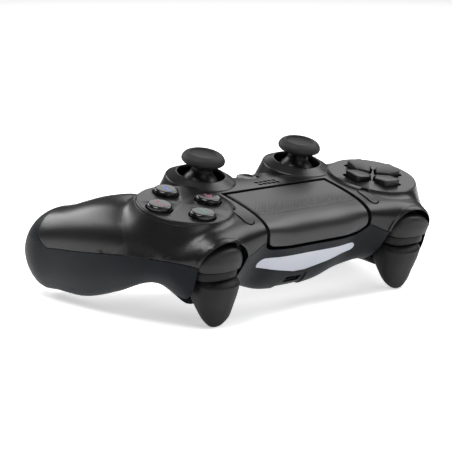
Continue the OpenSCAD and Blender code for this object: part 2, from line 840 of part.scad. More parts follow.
// Direction pad: four point-ended arms on one rocker that tilts two ways on a small cross link
rocker_top = -3.1;
rocker_thick = 1.2;
rocker_r = pad_reach - 1.6;
link_z = -6.2;
link_r = 0.9;
link_in = 2.6;
link_end = 4.4;
link_block = 1.2;
bearing_w = 3.2;
pad_foot_r = 8.4;
pad_dish = 1.1;
module d_pad() {
    bearing_top = rocker_top - 0.5;
    bearing_low = link_z - link_block;
    color(black)
        translate([-group_x, 0, 0])
            difference() {
                union() {
                    translate([0, 0, rocker_top - rocker_thick])
                        cylinder(r = rocker_r, h = rocker_thick, $fn = fine);
                    for (turn = [0 : 3])
                        rotate(90 * turn) {
                            difference() {
                                translate([0, 0, rocker_top - rocker_thick])
                                    linear_extrude(pad_proud - rocker_top + rocker_thick)
                                        pad_outline(0);
                                translate([0, pad_tip, pad_proud - pad_dish])
                                    rotate([atan(pad_dish / (pad_reach - pad_tip - 2.5)), 0, 0])
                                        translate([-pad_arm, -pad_reach, 0])
                                            cube([2 * pad_arm, 2 * pad_reach, pad_reach]);
                                translate([0, pad_reach - 1.1, pad_proud])
                                    rotate([-45, 0, 0])
                                        translate([-pad_arm, 0, 0])
                                            cube([2 * pad_arm, pad_arm, pad_arm]);
                            }
                            translate([0, pad_foot_r, dome_top + 0.05])
                                cylinder(r = 1.8, h = rocker_top - dome_top - 0.5, $fn = plain);
                        }
                    for (side = [-1, 1])
                        translate([0, side * (link_in + link_end) / 2, (bearing_top + bearing_low) / 2])
                            cube([bearing_w, link_end - link_in, bearing_top - bearing_low], center = true);
                }
                translate([0, 0, link_z])
                    rotate([90, 0, 0])
                        cylinder(r = link_r + axle_gap, h = 4 * link_end, center = true, $fn = fine);
            }
}
// Cross link: turns in the frame's bearings across x and carries the direction pad across y
module d_pad_link() {
    color(steel)
        translate([-group_x, 0, link_z]) {
            rotate([0, 90, 0])
                cylinder(r = link_r, h = 2 * link_end, center = true, $fn = fine);
            rotate([90, 0, 0])
                cylinder(r = link_r, h = 2 * link_end, center = true, $fn = fine);
        }
}
module d_pad_mat() {
    difference() {
        mat(-group_x, pad_foot_r);
        translate([-group_x, 0, mat_low - 1])
            cylinder(r = link_end + 0.5, h = mat_thick + 2, $fn = fine);
    }
}

// Small oblong button beside the touch pad, its top following the deck, with a flange and a stem
slim_proud = 0.8;
slim_flange = -7;
slim_flange_thick = 1;
slim_flange_wide = 0.6;
slim_stem_r = 1.5;
slim_foot = -9.4;
slim_first = 2;
slim_last = 3.5;
module slim_button(side) {
    color(charcoal)
        half(side) {
            intersection() {
                translate([0, 0, slim_proud])
                    stretch_form(slim_first, slim_last);
                translate([slim_x, slim_y, slim_flange])
                    linear_extrude(-2 * slim_flange)
                        slim_outline(0);
            }
            translate([slim_x, slim_y, slim_flange - slim_flange_thick])
                linear_extrude(slim_flange_thick)
                    slim_outline(slim_flange_wide);
            translate([slim_x, slim_y, slim_foot])
                cylinder(r = slim_stem_r, h = slim_flange - slim_foot, $fn = fine);
        }
}
module menu_button() {
    slim_button(1);
}
module share_button() {
    slim_button(-1);
}
// Round home button between the sticks, with a long stem down to its switch
home_flange = -7.4;
home_foot = -12.3;
module home_button() {
    color(black)
        translate([0, home_y, 0])
            rotate_extrude($fn = fine)
                polygon([
                    [0, home_foot],
                    [1.6, home_foot],
                    [1.6, home_flange - 1],
                    [home_r + 0.9, home_flange - 1],
                    [home_r + 0.9, home_flange],
                    [home_r, home_flange],
                    [home_r, home_top - 0.5],
                    [home_r - 0.5, home_top],
                    [home_r - 1.2, home_top],
                    [0, home_top - 0.3]
                ]);
}

// Thumb stick module, drawn about its tilt centre
module at_stick(side) {
    translate([side * stick_x, -stick_back, -tilt_depth])
        children();
}
case_half = 7.5;
case_wall = 1;
case_top = 2.2;
case_low = board_top + tilt_depth;
axle_r = 1.2;
axle_end = 7.9;
lever_r = 1.5;
// Open box with four bearing holes
module stick_case(side) {
    color(steel)
        at_stick(side)
            difference() {
                translate([-case_half, -case_half, case_low])
                    cube([2 * case_half, 2 * case_half, case_top - case_low]);
                translate([case_wall - case_half, case_wall - case_half, case_low + case_wall])
                    cube([2 * (case_half - case_wall), 2 * (case_half - case_wall), body_w]);
                rotate([0, 90, 0])
                    cylinder(r = axle_r + axle_gap, h = 4 * case_half, center = true, $fn = fine);
                rotate([90, 0, 0])
                    cylinder(r = axle_r + axle_gap, h = 4 * case_half, center = true, $fn = fine);
            }
}
// Lower yoke: a frame on two axles across x that carries the hub
yoke_x = 5.2;
yoke_y = 3.6;
yoke_z = 1.5;
hub_half = 2.3;
hub_pin_r = 0.9;
module stick_yoke(side) {
    color(black)
        at_stick(side)
            difference() {
                union() {
                    translate([-yoke_x, -yoke_y, -yoke_z])
                        cube([2 * yoke_x, 2 * yoke_y, 2 * yoke_z]);
                    rotate([0, 90, 0])
                        cylinder(r = axle_r, h = 2 * axle_end, center = true, $fn = fine);
                }
                cube([2 * (hub_half + 1.2), 2 * (hub_half + 0.2), 4 * yoke_z], center = true);
                rotate([90, 0, 0])
                    cylinder(r = hub_pin_r + axle_gap, h = 4 * yoke_y, center = true, $fn = fine);
            }
}
// Hub that tilts in the yoke and guides the lever
module stick_hub(side) {
    color(grey)
        at_stick(side)
            difference() {
                union() {
                    cube([2 * hub_half, 2 * hub_half, 3.4], center = true);
                    rotate([90, 0, 0])
                        cylinder(r = hub_pin_r, h = 2 * yoke_y - 0.2, center = true, $fn = fine);
                }
                cylinder(r = lever_r + axle_gap, h = 20, center = true, $fn = fine);
            }
}
// Lever that slides in the hub when the stick is pressed
lever_low = -3;
lever_top = 13.6;
module stick_lever(side) {
    color(steel)
        at_stick(side)
            translate([0, 0, lever_low])
                cylinder(r = lever_r, h = lever_top - lever_low, $fn = fine);
}
// Upper yoke: a slotted arch on two axles across y that the lever swings
arch_in = 5.2;
arch_out = 6.2;
arch_half = 2.7;
slot_half = lever_r + 0.2;
module stick_arch(side) {
    color(black)
        at_stick(side)
            difference() {
                union() {
                    rotate([0, 90, 0])
                        cylinder(r = arch_out, h = 2 * arch_half, center = true, $fn = fine);
                    rotate([90, 0, 0])
                        cylinder(r = axle_r, h = 2 * axle_end, center = true, $fn = fine);
                }
                rotate([0, 90, 0])
                    cylinder(r = arch_in, h = 4 * arch_half, center = true, $fn = fine);
                translate([-2 * arch_half, -2 * arch_out, -3 * arch_out])
                    cube([4 * arch_half, 4 * arch_out, 3 * arch_out - axle_r]);
                translate([-slot_half, -4, 0])
                    cube([2 * slot_half, 8, 2 * arch_out]);
            }
}
// Two tilt sensors on the case walls and the press switch on its floor
sensor_box = 3;
module stick_sensors(side) {
    color(copper)
        at_stick(side) {
            translate([side > 0 ? case_half : -case_half - sensor_box, -4.5, case_low])
                difference() {
                    cube([sensor_box, 9, case_top - case_low - 0.4]);
                    translate([sensor_box / 2, 4.5, -case_low])
                        rotate([0, 90, 0])
                            cylinder(r = axle_r + 0.2, h = 2 * sensor_box, center = true, $fn = fine);
                }
            translate([-4.5, case_half, case_low])
                difference() {
                    cube([9, sensor_box, case_top - case_low - 0.4]);
                    translate([4.5, sensor_box / 2, -case_low])
                        rotate([90, 0, 0])
                            cylinder(r = axle_r + 0.2, h = 2 * sensor_box, center = true, $fn = fine);
                }
            translate([-2, -2, case_low + case_wall])
                cube([4, 4, 3.2]);
        }
}
// Mushroom cap with a raised rim, a dished top, a bell that hides the works and a socket for the lever
neck_r = 4.3;
bell_r = 7.7;
bell_low = -1.9;
bell_wall = 0.9;
module stick_cap(side) {
    rim = cap_top;
    color(black)
        translate([side * stick_x, -stick_back, 0])
            difference() {
                rotate_extrude($fn = fine)
                    polygon([
                        [0, 0.2],
                        [neck_r, 0.2],
                        [bell_r - bell_wall - 1, bell_low + 1.2],
                        [bell_r - bell_wall, bell_low],
                        [bell_r, bell_low],
                        [bell_r - 0.9, bell_low + 1.6],
                        [bell_r - 2.3, bell_low + 3],
                        [neck_r + 0.2, bell_low + 4.4],
                        [neck_r - 0.2, bell_low + 5.6],
                        [neck_r - 0.2, rim - 4.6],
                        [neck_r + 1, rim - 4.1],
                        [cap_r - 1.4, rim - 3.7],
                        [cap_r - 0.2, rim - 2.8],
                        [cap_r, rim - 1.9],
                        [cap_r - 0.3, rim - 0.7],
                        [cap_r - 0.9, rim - 0.1],
                        [cap_r - 1.5, rim],
                        [cap_r - 2.1, rim - 0.2],
                        [cap_r - 2.5, rim - 0.8],
                        [0, rim - 1.2]
                    ]);
                translate([0, 0, -1])
                    cylinder(r = lever_r + axle_gap, h = lever_top - tilt_depth + 1, $fn = fine);
            }
}
module stick_case_right() {
    stick_case(1);
}
module stick_case_left() {
    stick_case(-1);
}
module stick_yoke_right() {
    stick_yoke(1);
}
module stick_yoke_left() {
    stick_yoke(-1);
}
module stick_hub_right() {
    stick_hub(1);
}
module stick_hub_left() {
    stick_hub(-1);
}
module stick_lever_right() {
    stick_lever(1);
}
module stick_lever_left() {
    stick_lever(-1);
}
module stick_arch_right() {
    stick_arch(1);
}
module stick_arch_left() {
    stick_arch(-1);
}
module stick_sensors_right() {
    stick_sensors(1);
}
module stick_sensors_left() {
    stick_sensors(-1);
}
module stick_cap_right() {
    stick_cap(1);
}
module stick_cap_left() {
    stick_cap(-1);
}

// Shoulder button on an upright pin at its inner end
bumper_pin_x = shoulder_x - bumper_half + 3.4;
bumper_pin_y = bumper_back + 4.2;
bumper_pin_r = 1.2;
bumper_pin_top = -10;
module bumper(side) {
    color(slate)
        half(side)
            difference() {
                tongue(bumper_rows);
                translate([bumper_pin_x, bumper_pin_y, bumper_foot - 1])
                    cylinder(r = bumper_pin_r + axle_gap, h = bumper_pin_top - bumper_foot + 1.3, $fn = fine);
            }
}
module bumper_right() {
    bumper(1);
}
module bumper_left() {
    bumper(-1);
}
// Trigger: hollow behind its face, with a hinge ear on each flank
hinge_y = 16.6;
hinge_z = -23.6;
ear_r = 2.6;
trigger_ear = 2.2;
trigger_inset = 0.5;
pocket_front = 23.5;
pocket_low = -31;
module trigger(side) {
    ear_out = trigger_half - trigger_inset;
    ear_in = ear_out - trigger_ear;
    color(slate)
        half(side)
            difference() {
                union() {
                    tongue(trigger_rows, [trigger_ledge]);
                    for (x = [-ear_out, ear_in])
                        translate([trigger_x + x, 0, 0])
                            hull() {
                                translate([0, hinge_y, hinge_z])
                                    rotate([0, 90, 0])
                                        cylinder(r = ear_r, h = trigger_ear, $fn = 32);
                                translate([0, trigger_back + 4, hinge_z - 3])
                                    cube([trigger_ear, 2, 5.4]);
                            }
                }
                translate([trigger_x - ear_in, 0, pocket_low])
                    cube([2 * ear_in, pocket_front, body_w]);
                translate([shoulder_x - body_w / 4, hinge_y, hinge_z])
                    rotate([0, 90, 0])
                        cylinder(r = hinge_r + axle_gap, h = body_w / 2, $fn = fine);
            }
}
module trigger_right() {
    trigger(1);
}
module trigger_left() {
    trigger(-1);
}
// Hinge pins of the two triggers
pin_half = trigger_half - trigger_inset;
module trigger_pins() {
    color(steel)
        both_halves()
            translate([trigger_x - pin_half, hinge_y, hinge_z])
                rotate([0, 90, 0])
                    cylinder(r = hinge_r, h = 2 * pin_half, $fn = fine);
}
// Return springs wound round the pins between the bracket's lugs
spring_wire = 0.8;
lug_in = 3.4;
lug_out = 5.6;
module trigger_springs() {
    length = 2 * lug_in - 0.6;
    color(steel)
        both_halves()
            translate([trigger_x - length / 2, hinge_y, hinge_z])
                rotate([0, 90, 0])
                    difference() {
                        cylinder(r = hinge_r + 0.1 + spring_wire, h = length, $fn = fine);
                        translate([0, 0, -1])
                            cylinder(r = hinge_r + 0.1, h = length + 2, $fn = fine);
                    }
}
// Fixed bracket: the strip between shoulder button and trigger, a back plate, lugs and the upright pin
strip_top = bumper_foot - 0.6;
strip_low = trigger_top + 0.6;
strip_front = trigger_front - 1.8;
strip_back = bay_back - 1.6;
plate_thick = 2.4;
plate_half = bumper_half + 0.4;
plate_top = -10.4;
module bracket(side) {
    lug_low = hinge_z - ear_r;
    lug_front = hinge_y + ear_r;
    color(slate)
        half(side)
            difference() {
                union() {
                    skin([
                        for (z = [strip_low, strip_top])
                            tongue_ring([z, shoulder_x + 0.3, bumper_half - 0.2, strip_front, strip_back, 3, 5])
                    ]);
                    translate([shoulder_x - plate_half, bay_back - plate_thick, bracket_low])
                        cube([2 * plate_half, plate_thick, plate_top - bracket_low]);
                    translate([bumper_pin_x, bumper_pin_y, strip_top - 1])
                        cylinder(r = bumper_pin_r, h = bumper_pin_top - strip_top + 1, $fn = fine);
                    translate([shoulder_x + 3, bay_back - 1, -14])
                        cube([5, bumper_back - bay_back - 0.2, 3.6]);
                    for (x = [-lug_out, lug_in])
                        translate([trigger_x + x, bay_back - 1, lug_low])
                            cube([lug_out - lug_in, lug_front - bay_back + 1, strip_low - lug_low + 1]);
                }
                translate([trigger_x - pin_half, hinge_y, hinge_z])
                    rotate([0, 90, 0])
                        cylinder(r = hinge_r + axle_gap, h = 2 * pin_half, $fn = fine);
            }
}
module bracket_right() {
    bracket(1);
}
module bracket_left() {
    bracket(-1);
}

// Rumble motors and the half-round weights on their shafts
weight_r = 8;
weight_thick = 6;
weight_gap = 2;
shaft_r = 1;
module rumble_motor(side) {
    shaft_end = motor_front - motor_back + weight_gap + weight_thick;
    color(steel)
        half(side)
            translate([motor_x, motor_front, motor_z])
                rotate([90, 0, 0]) {
                    cylinder(r = motor_r, h = motor_front - motor_back, $fn = fine);
                    cylinder(r = shaft_r, h = shaft_end, $fn = fine);
                }
}
module rumble_weight(side) {
    color(grey)
        half(side)
            translate([motor_x, motor_back - weight_gap, motor_z])
                rotate([90, 0, 0])
                    difference() {
                        cylinder(r = weight_r, h = weight_thick, $fn = fine);
                        translate([-2 * weight_r, 2.2, -1])
                            cube([4 * weight_r, 2 * weight_r, weight_thick + 2]);
                        translate([0, 0, -1])
                            cylinder(r = shaft_r + axle_gap, h = weight_thick + 2, $fn = fine);
                    }
}
module rumble_motor_right() {
    rumble_motor(1);
}
module rumble_motor_left() {
    rumble_motor(-1);
}
module rumble_weight_right() {
    rumble_weight(1);
}
module rumble_weight_left() {
    rumble_weight(-1);
}

// Main circuit board with the switches under the touch pad and the home button
board_half = 31;
board_rear = -28.6;
board_front = 15.5;
module main_board() {
    color(green) {
        translate([-board_half, board_rear, frame_top])
            cube([2 * board_half, board_front - board_rear, board_thick]);
        translate([-2, home_y - 2, frame_top])
            cube([4, 4, home_foot - 0.8 - frame_top]);
        translate([-2, 0, frame_top])
            cube([4, 4, sensor_top - sensor_thick - 0.8 - frame_top]);
    }
}
// Inner frame: carries the board, the rubber sheets and the two small buttons' posts
arm_half = 5;
frame_half = 35;
frame_rear = -28;
frame_front = 16.8;
module mid_frame() {
    color(grey) {
        difference() {
            translate([-frame_half, frame_rear, frame_low])
                cube([2 * frame_half, frame_front - frame_rear, frame_thick]);
            translate([-8, -28, frame_low - 1])
                cube([16, 12, frame_thick + 2]);
        }
        both_halves() {
            translate([frame_half - 1, -arm_half, frame_low])
                cube([group_x - frame_half + 1, 2 * arm_half, frame_thick]);
            difference() {
                translate([group_x, 0, frame_low])
                    cylinder(r = 9, h = mat_low - frame_low, $fn = fine);
                translate([group_x, 0, frame_low - 1])
                    cylinder(r = 7.5, h = mat_low - frame_low + 1 - seat_plate, $fn = fine);
            }
            translate([group_x, 0, mat_low - seat_plate])
                cylinder(r = mat_r, h = seat_plate, $fn = fine);
            translate([slim_x, slim_y, frame_low])
                cylinder(r = 1.6, h = slim_foot - 0.8 - frame_low, $fn = fine);
        }
        for (side = [-1, 1])
            translate([side * (link_in + link_end) / 2 - group_x, 0, mat_low])
                difference() {
                    translate([(link_in - link_end) / 2, -bearing_w / 2, 0])
                        cube([link_end - link_in, bearing_w, link_z + link_block - mat_low]);
                    translate([0, 0, link_z - mat_low])
                        rotate([0, 90, 0])
                            cylinder(r = link_r + axle_gap, h = 4, center = true, $fn = fine);
                }
    }
}
// Battery hung under the frame
battery_half = 24;
battery_rear = -8;
battery_length = 22;
battery_thick = 7.4;
module battery() {
    color(charcoal)
        translate([-battery_half, battery_rear, frame_low - battery_thick])
            cube([2 * battery_half, battery_length, battery_thick]);
}
// Charging board behind the light bar, with a strip of lamps along its front
charge_board_half = 13;
charge_board_rear = 1;
charge_board_long = 9;
charge_board_thick = 1;
lamp_half = 6;
lamp_high = 1.6;
module charge_board() {
    color(green) {
        translate([-charge_board_half, charge_board_rear, charge_board_top - charge_board_thick])
            cube([2 * charge_board_half, charge_board_long, charge_board_thick]);
        translate([-lamp_half, charge_board_rear + 5, charge_board_top])
            cube([2 * lamp_half, 2, lamp_high]);
    }
}
// Charging socket: a metal sleeve with a tongue
sleeve_wall = 0.4;
module charge_socket() {
    color(steel)
        translate([-charge_w / 2, charge_front - charge_deep, charge_z - charge_h / 2])
            difference() {
                cube([charge_w, charge_deep, charge_h]);
                translate([sleeve_wall, 1, sleeve_wall])
                    difference() {
                        cube([charge_w - 2 * sleeve_wall, charge_deep, charge_h - 2 * sleeve_wall]);
                        translate([1, -1, (charge_h - 2 * sleeve_wall) / 2 - 0.3])
                            cube([charge_w - 2 * sleeve_wall - 2, charge_deep - 0.5, 0.6]);
                    }
            }
}
// Headset socket: a block on the board with a round nose and an open bore
jack_half = 3;
jack_long = 12;
jack_rear = 3 - rear_edge;
headset_deep = 11;
jack_mouth = -rear_edge - 0.4;
module headset_socket() {
    color(black)
        difference() {
            union() {
                translate([headset_x - jack_half, jack_rear, board_top])
                    cube([2 * jack_half, jack_long, 2 * (jack_z - board_top)]);
                translate([headset_x, jack_rear + 1, jack_z])
                    rotate([90, 0, 0])
                        cylinder(r = jack_nose_r, h = jack_rear + 1 - jack_mouth, $fn = fine);
            }
            translate([headset_x, jack_mouth + headset_deep, jack_z])
                rotate([90, 0, 0])
                    cylinder(d = headset_bore, h = 2 * headset_deep, $fn = fine);
        }
}
// Accessory socket: a flat block with a shallow recess
link_long = 10;
link_rim = 0.7;
module link_socket() {
    color(black)
        difference() {
            translate([link_x - link_w / 2, jack_mouth, jack_z - link_h / 2])
                cube([link_w, link_long, link_h]);
            translate([link_x, jack_mouth, jack_z])
                cube([link_w - 2 * link_rim, link_long, link_h - 2 * link_rim], center = true);
            translate([link_x - link_w, jack_mouth - 1, frame_top - link_h])
                cube([2 * link_w, 20, link_h + board_thick]);
        }
}
// Loudspeaker behind its grille
module speaker() {
    color(black)
        translate([0, speaker_y, speaker_top - speaker_thick]) {
            cylinder(r = speaker_r, h = speaker_thick - 0.6, $fn = fine);
            cylinder(r = speaker_r - 1, h = speaker_thick, $fn = fine);
        }
}
// Case screws driven from below into the top shell's posts
module case_screws() {
    color(steel)
        both_halves()
            for (p = screw_places)
                translate([p[0], p[1], seat_under(p) - screw_head])
                    difference() {
                        union() {
                            cylinder(r = screw_head_r, h = screw_head, $fn = fine);
                            cylinder(r = screw_r, h = screw_length, $fn = fine);
                        }
                        for (turn = [0, 90])
                            rotate(turn)
                                translate([-1.4, -0.25, -1])
                                    cube([2.8, 0.5, 1.8]);
                    }
}

seat()
        top_shell();
seat()
        bottom_shell();
seat()
        light_lens();
seat()
        touchpad();
seat()
        touch_board();
seat()
        button_right();
seat()
        button_top();
seat()
        button_left();
seat()
        button_bottom();
seat()
        button_mat();
seat()
        d_pad();
seat()
        d_pad_link();
seat()
        d_pad_mat();
seat()
        menu_button();
seat()
        share_button();
seat()
        home_button();
seat()
        stick_case_right();
seat()
        stick_yoke_right();
seat()
        stick_hub_right();
seat()
        stick_lever_right();
seat()
        stick_arch_right();
seat()
        stick_sensors_right();
seat()
        stick_cap_right();
seat()
        stick_case_left();
seat()
        stick_yoke_left();
seat()
        stick_hub_left();
seat()
        stick_lever_left();
seat()
        stick_arch_left();
seat()
        stick_sensors_left();
seat()
        stick_cap_left();
seat()
        bumper_right();
seat()
        bumper_left();
seat()
        trigger_right();
seat()
        trigger_left();
seat()
        trigger_pins();
seat()
        trigger_springs();
seat()
        bracket_right();
seat()
        bracket_left();
seat()
        rumble_motor_right();
seat()
        rumble_motor_left();
seat()
        rumble_weight_right();
seat()
        rumble_weight_left();
seat()
        main_board();
seat()
        mid_frame();
seat()
        battery();
seat()
        charge_board();
seat()
        charge_socket();
seat()
        headset_socket();
seat()
        link_socket();
seat()
        speaker();
seat()
        case_screws();
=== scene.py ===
"""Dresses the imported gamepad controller: moulded shells, keys, thumb sticks, shoulders and sockets.

Pieces are modelled in the deck frame, in millimetres: x to the player's right, y away from the player,
z out of the deck. The stance then turns them into the row frame, in metres.
"""

import json
import logging
import math
from dataclasses import dataclass
from enum import Enum
from functools import cached_property
from typing import ClassVar, NamedTuple, Sequence

import bmesh
import bpy
from mathutils import Matrix, Vector
from mathutils.bvhtree import BVHTree


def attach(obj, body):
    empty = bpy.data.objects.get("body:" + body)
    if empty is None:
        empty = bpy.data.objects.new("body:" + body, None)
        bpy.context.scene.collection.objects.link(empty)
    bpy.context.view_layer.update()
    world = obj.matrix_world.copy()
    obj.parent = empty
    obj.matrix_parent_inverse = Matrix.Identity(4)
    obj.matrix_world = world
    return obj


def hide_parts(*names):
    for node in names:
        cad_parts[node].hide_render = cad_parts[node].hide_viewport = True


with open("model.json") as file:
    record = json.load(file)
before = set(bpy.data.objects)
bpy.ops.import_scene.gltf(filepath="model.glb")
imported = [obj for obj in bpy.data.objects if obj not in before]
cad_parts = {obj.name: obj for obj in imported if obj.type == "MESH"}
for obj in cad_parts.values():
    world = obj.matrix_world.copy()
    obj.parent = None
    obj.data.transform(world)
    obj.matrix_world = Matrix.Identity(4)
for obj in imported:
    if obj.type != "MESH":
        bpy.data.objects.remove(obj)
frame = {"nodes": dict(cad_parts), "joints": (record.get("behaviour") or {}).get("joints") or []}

MM = 0.001
MERGE_MM = 1e-4
LOG = logging.getLogger("gamepad")

BMesh, BMVert, BMEdge = bmesh.types.BMesh, bmesh.types.BMVert, bmesh.types.BMEdge
Point = tuple[float, float, float]
Outline = list[tuple[float, float]]


class Cut(Enum):
    """How a tool shape meets the piece it is applied to."""

    ADD = "UNION"
    TAKE = "DIFFERENCE"
    KEEP = "INTERSECT"


class Side(Enum):
    """The player's right or left half."""

    RIGHT = 1
    LEFT = -1

    @property
    def word(self) -> str:
        """Name of the side as the bodies use it."""
        return self.name.lower()


# Stance


@dataclass(frozen=True)
class Stance:
    """The controller's resting place: deck frame in millimetres to row frame in metres."""

    tilt: float
    offset: Vector

    @classmethod
    def from_joints(cls, joints: list[dict], pivot: Vector) -> "Stance":
        """Reads the stance off a pressed button's axis and the direction pad's pivot.

        Args:
            joints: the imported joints.
            pivot: the direction pad's pivot in the deck frame.

        Returns:
            The stance.
        """
        named = {joint["name"]: joint for joint in joints}
        axis = Vector(named["button_right_press"]["axis"])
        tilt = math.atan2(-axis.y, -axis.z)
        turned = Matrix.Rotation(-tilt, 3, "X") @ pivot * MM
        return cls(tilt, Vector(named["pad_tilt_x"]["pos_m"]) - turned)

    def matrix(self) -> Matrix:
        """The whole move, scale included."""
        return Matrix.Translation(self.offset) @ self.turn().to_4x4() @ Matrix.Scale(MM, 4)

    def turn(self) -> Matrix:
        """The turn alone."""
        return Matrix.Rotation(-self.tilt, 3, "X")


PAD_PIVOT = Vector((-50.0, 0.0, -6.2))
STANCE = Stance.from_joints(frame["joints"], PAD_PIVOT)

# Two lines across the deck: where the touch pad folds, and where the top shell's round end starts on the grips
FOLD_Y = 16.3
TONGUE_Y = -42.0


# Measures


def turns(whole: float, steps: int) -> list[float]:
    """Even stops on a turn given in degrees, both ends included, in radians."""
    return [math.radians(whole * k / steps) for k in range(steps + 1)]


def quarter(count: int) -> Matrix:
    """A turn about z by a number of quarters."""
    return Matrix.Rotation(math.radians(90 * count), 4, "Z")


def between(rows: Sequence[Sequence[float]], t: float) -> list[float]:
    """Blends four rows of numbers on a smooth curve that runs through the middle two.

    Args:
        rows: the row before, the two rows on either side, and the row after.
        t: share of the way from the second row to the third.

    Returns:
        The blended row.
    """
    return [0.5 * (2 * b + (c - a) * t + (2 * a - 5 * b + 4 * c - d) * t * t
                   + (3 * b - a - 3 * c + d) * t ** 3) for a, b, c, d in zip(*rows)]


# Mesh tools


def placed(bm: BMesh, matrix: Matrix) -> BMesh:
    """Moves a whole shape.

    Args:
        bm: the shape.
        matrix: the move.

    Returns:
        The same shape.
    """
    bmesh.ops.transform(bm, matrix=matrix, verts=bm.verts)
    if matrix.determinant() < 0:
        bmesh.ops.reverse_faces(bm, faces=bm.faces)
    return bm


def sided(bm: BMesh, side: Side) -> BMesh:
    """Mirrors a right-hand shape to the side that is asked for.

    Args:
        bm: a shape made for the right side.
        side: the side it goes to.

    Returns:
        The same shape.
    """
    return placed(bm, Matrix.Scale(side.value, 4, (1, 0, 0)))


def at(x: float, y: float, bm: BMesh) -> BMesh:
    """Moves a shape across the deck."""
    return placed(bm, Matrix.Translation((x, y, 0)))


def loft(rings: list[list[Vector]]) -> BMesh:
    """Runs a closed skin over rings of equal count, by extruding one ring on to the next.

    Args:
        rings: the rings in order.

    Returns:
        A closed shape with both ends filled.
    """
    bm = bmesh.new()
    bmesh.ops.create_circle(bm, segments=len(rings[0]), radius=1.0)
    verts = list(bm.verts)
    edges = list(bm.edges)
    first = edges
    for vert, point in zip(verts, rings[0]):
        vert.co = point
    for ring in rings[1:]:
        grown = bmesh.ops.extrude_edge_only(bm, edges=edges)["geom"]
        fresh = {part for part in grown if isinstance(part, BMVert)}
        edges = [part for part in grown if isinstance(part, BMEdge)
                 and all(vert in fresh for vert in part.verts)]
        verts = [next(edge.other_vert(vert) for edge in vert.link_edges if edge.other_vert(vert) in fresh)
                 for vert in verts]
        for vert, point in zip(verts, ring):
            vert.co = point
    bmesh.ops.edgeloop_fill(bm, edges=first)
    bmesh.ops.edgeloop_fill(bm, edges=edges)
    bmesh.ops.recalc_face_normals(bm, faces=bm.faces)
    return bm


def spun(profile: Outline, segments: int = 72) -> BMesh:
    """Turns a profile that starts and ends on the z axis into a round closed shape.

    Args:
        profile: radius and height pairs.
        segments: steps of the turn.

    Returns:
        The closed shape.
    """
    bm = bmesh.new()
    verts = [bm.verts.new((radius, 0.0, height)) for radius, height in profile]
    edges = [bm.edges.new(pair) for pair in zip(verts, verts[1:])]
    bmesh.ops.spin(bm, geom=verts + edges, cent=(0, 0, 0), axis=(0, 0, 1), angle=2 * math.pi,
                   steps=segments, use_merge=True, use_duplicate=False)
    bmesh.ops.remove_doubles(bm, verts=bm.verts, dist=MERGE_MM)
    bmesh.ops.recalc_face_normals(bm, faces=bm.faces)
    return bm


def rod(radius: float, low: float, high: float, segments: int = 48) -> BMesh:
    """A plain round cutter along z.

    Args:
        radius: its radius.
        low: its lower end.
        high: its upper end.
        segments: steps round.

    Returns:
        The closed shape.
    """
    return spun([(0, low), (radius, low), (radius, high), (0, high)], segments)


def prism(outline: Outline, low: float, high: float) -> BMesh:
    """Extrudes an outline along z.

    Args:
        outline: corner points.
        low: lower end.
        high: upper end.

    Returns:
        The closed shape.
    """
    bm = bmesh.new()
    face = bm.faces.new([bm.verts.new((x, y, low)) for x, y in outline])
    grown = bmesh.ops.extrude_face_region(bm, geom=[face])["geom"]
    bmesh.ops.translate(bm, vec=(0, 0, high - low),
                        verts=[part for part in grown if isinstance(part, BMVert)])
    bmesh.ops.recalc_face_normals(bm, faces=bm.faces)
    return bm


def block(low: Point, high: Point) -> BMesh:
    """A square block between two corners, for cutting and for plain plates.

    Args:
        low: lowest corner.
        high: highest corner.

    Returns:
        The closed shape.
    """
    return prism([(low[0], low[1]), (high[0], low[1]), (high[0], high[1]), (low[0], high[1])], low[2], high[2])


def facing_front(bm: BMesh) -> BMesh:
    """Turns a shape made in x and y, extruded along z, to x and z, extruded along y."""
    return placed(bm, Matrix(((1, 0, 0, 0), (0, 0, 1, 0), (0, 1, 0, 0), (0, 0, 0, 1))))


def joined(shapes: list[BMesh]) -> BMesh:
    """Gathers shapes that don't touch into one.

    Args:
        shapes: the shapes, which are used up.

    Returns:
        The gathered shape.
    """
    whole = bmesh.new()
    for shape in shapes:
        mesh = bpy.data.meshes.new("part")
        shape.to_mesh(mesh)
        shape.free()
        whole.from_mesh(mesh)
        bpy.data.meshes.remove(mesh)
    return whole


def rounded(bm: BMesh, edges: list[BMEdge], width: float, segments: int) -> None:
    """Rounds some edges of a shape.

    Args:
        bm: the shape.
        edges: the edges.
        width: width of the rounding.
        segments: steps of the rounding.
    """
    bmesh.ops.bevel(bm, geom=edges, offset=width, offset_type="OFFSET", affect="EDGES", segments=segments,
                    profile=0.5, material=-1, clamp_overlap=True)


def softened(bm: BMesh, width: float, sharper: float = 35.0, segments: int = 3) -> BMesh:
    """Rounds every edge that turns by more than an angle.

    Args:
        bm: the shape.
        width: width of the rounding.
        sharper: least turn in degrees of an edge that is rounded.
        segments: steps of the rounding.

    Returns:
        The same shape.
    """
    edges = [edge for edge in bm.edges if len(edge.link_faces) == 2
             and edge.calc_face_angle(0.0) > math.radians(sharper)]
    rounded(bm, edges, width, segments)
    return bm


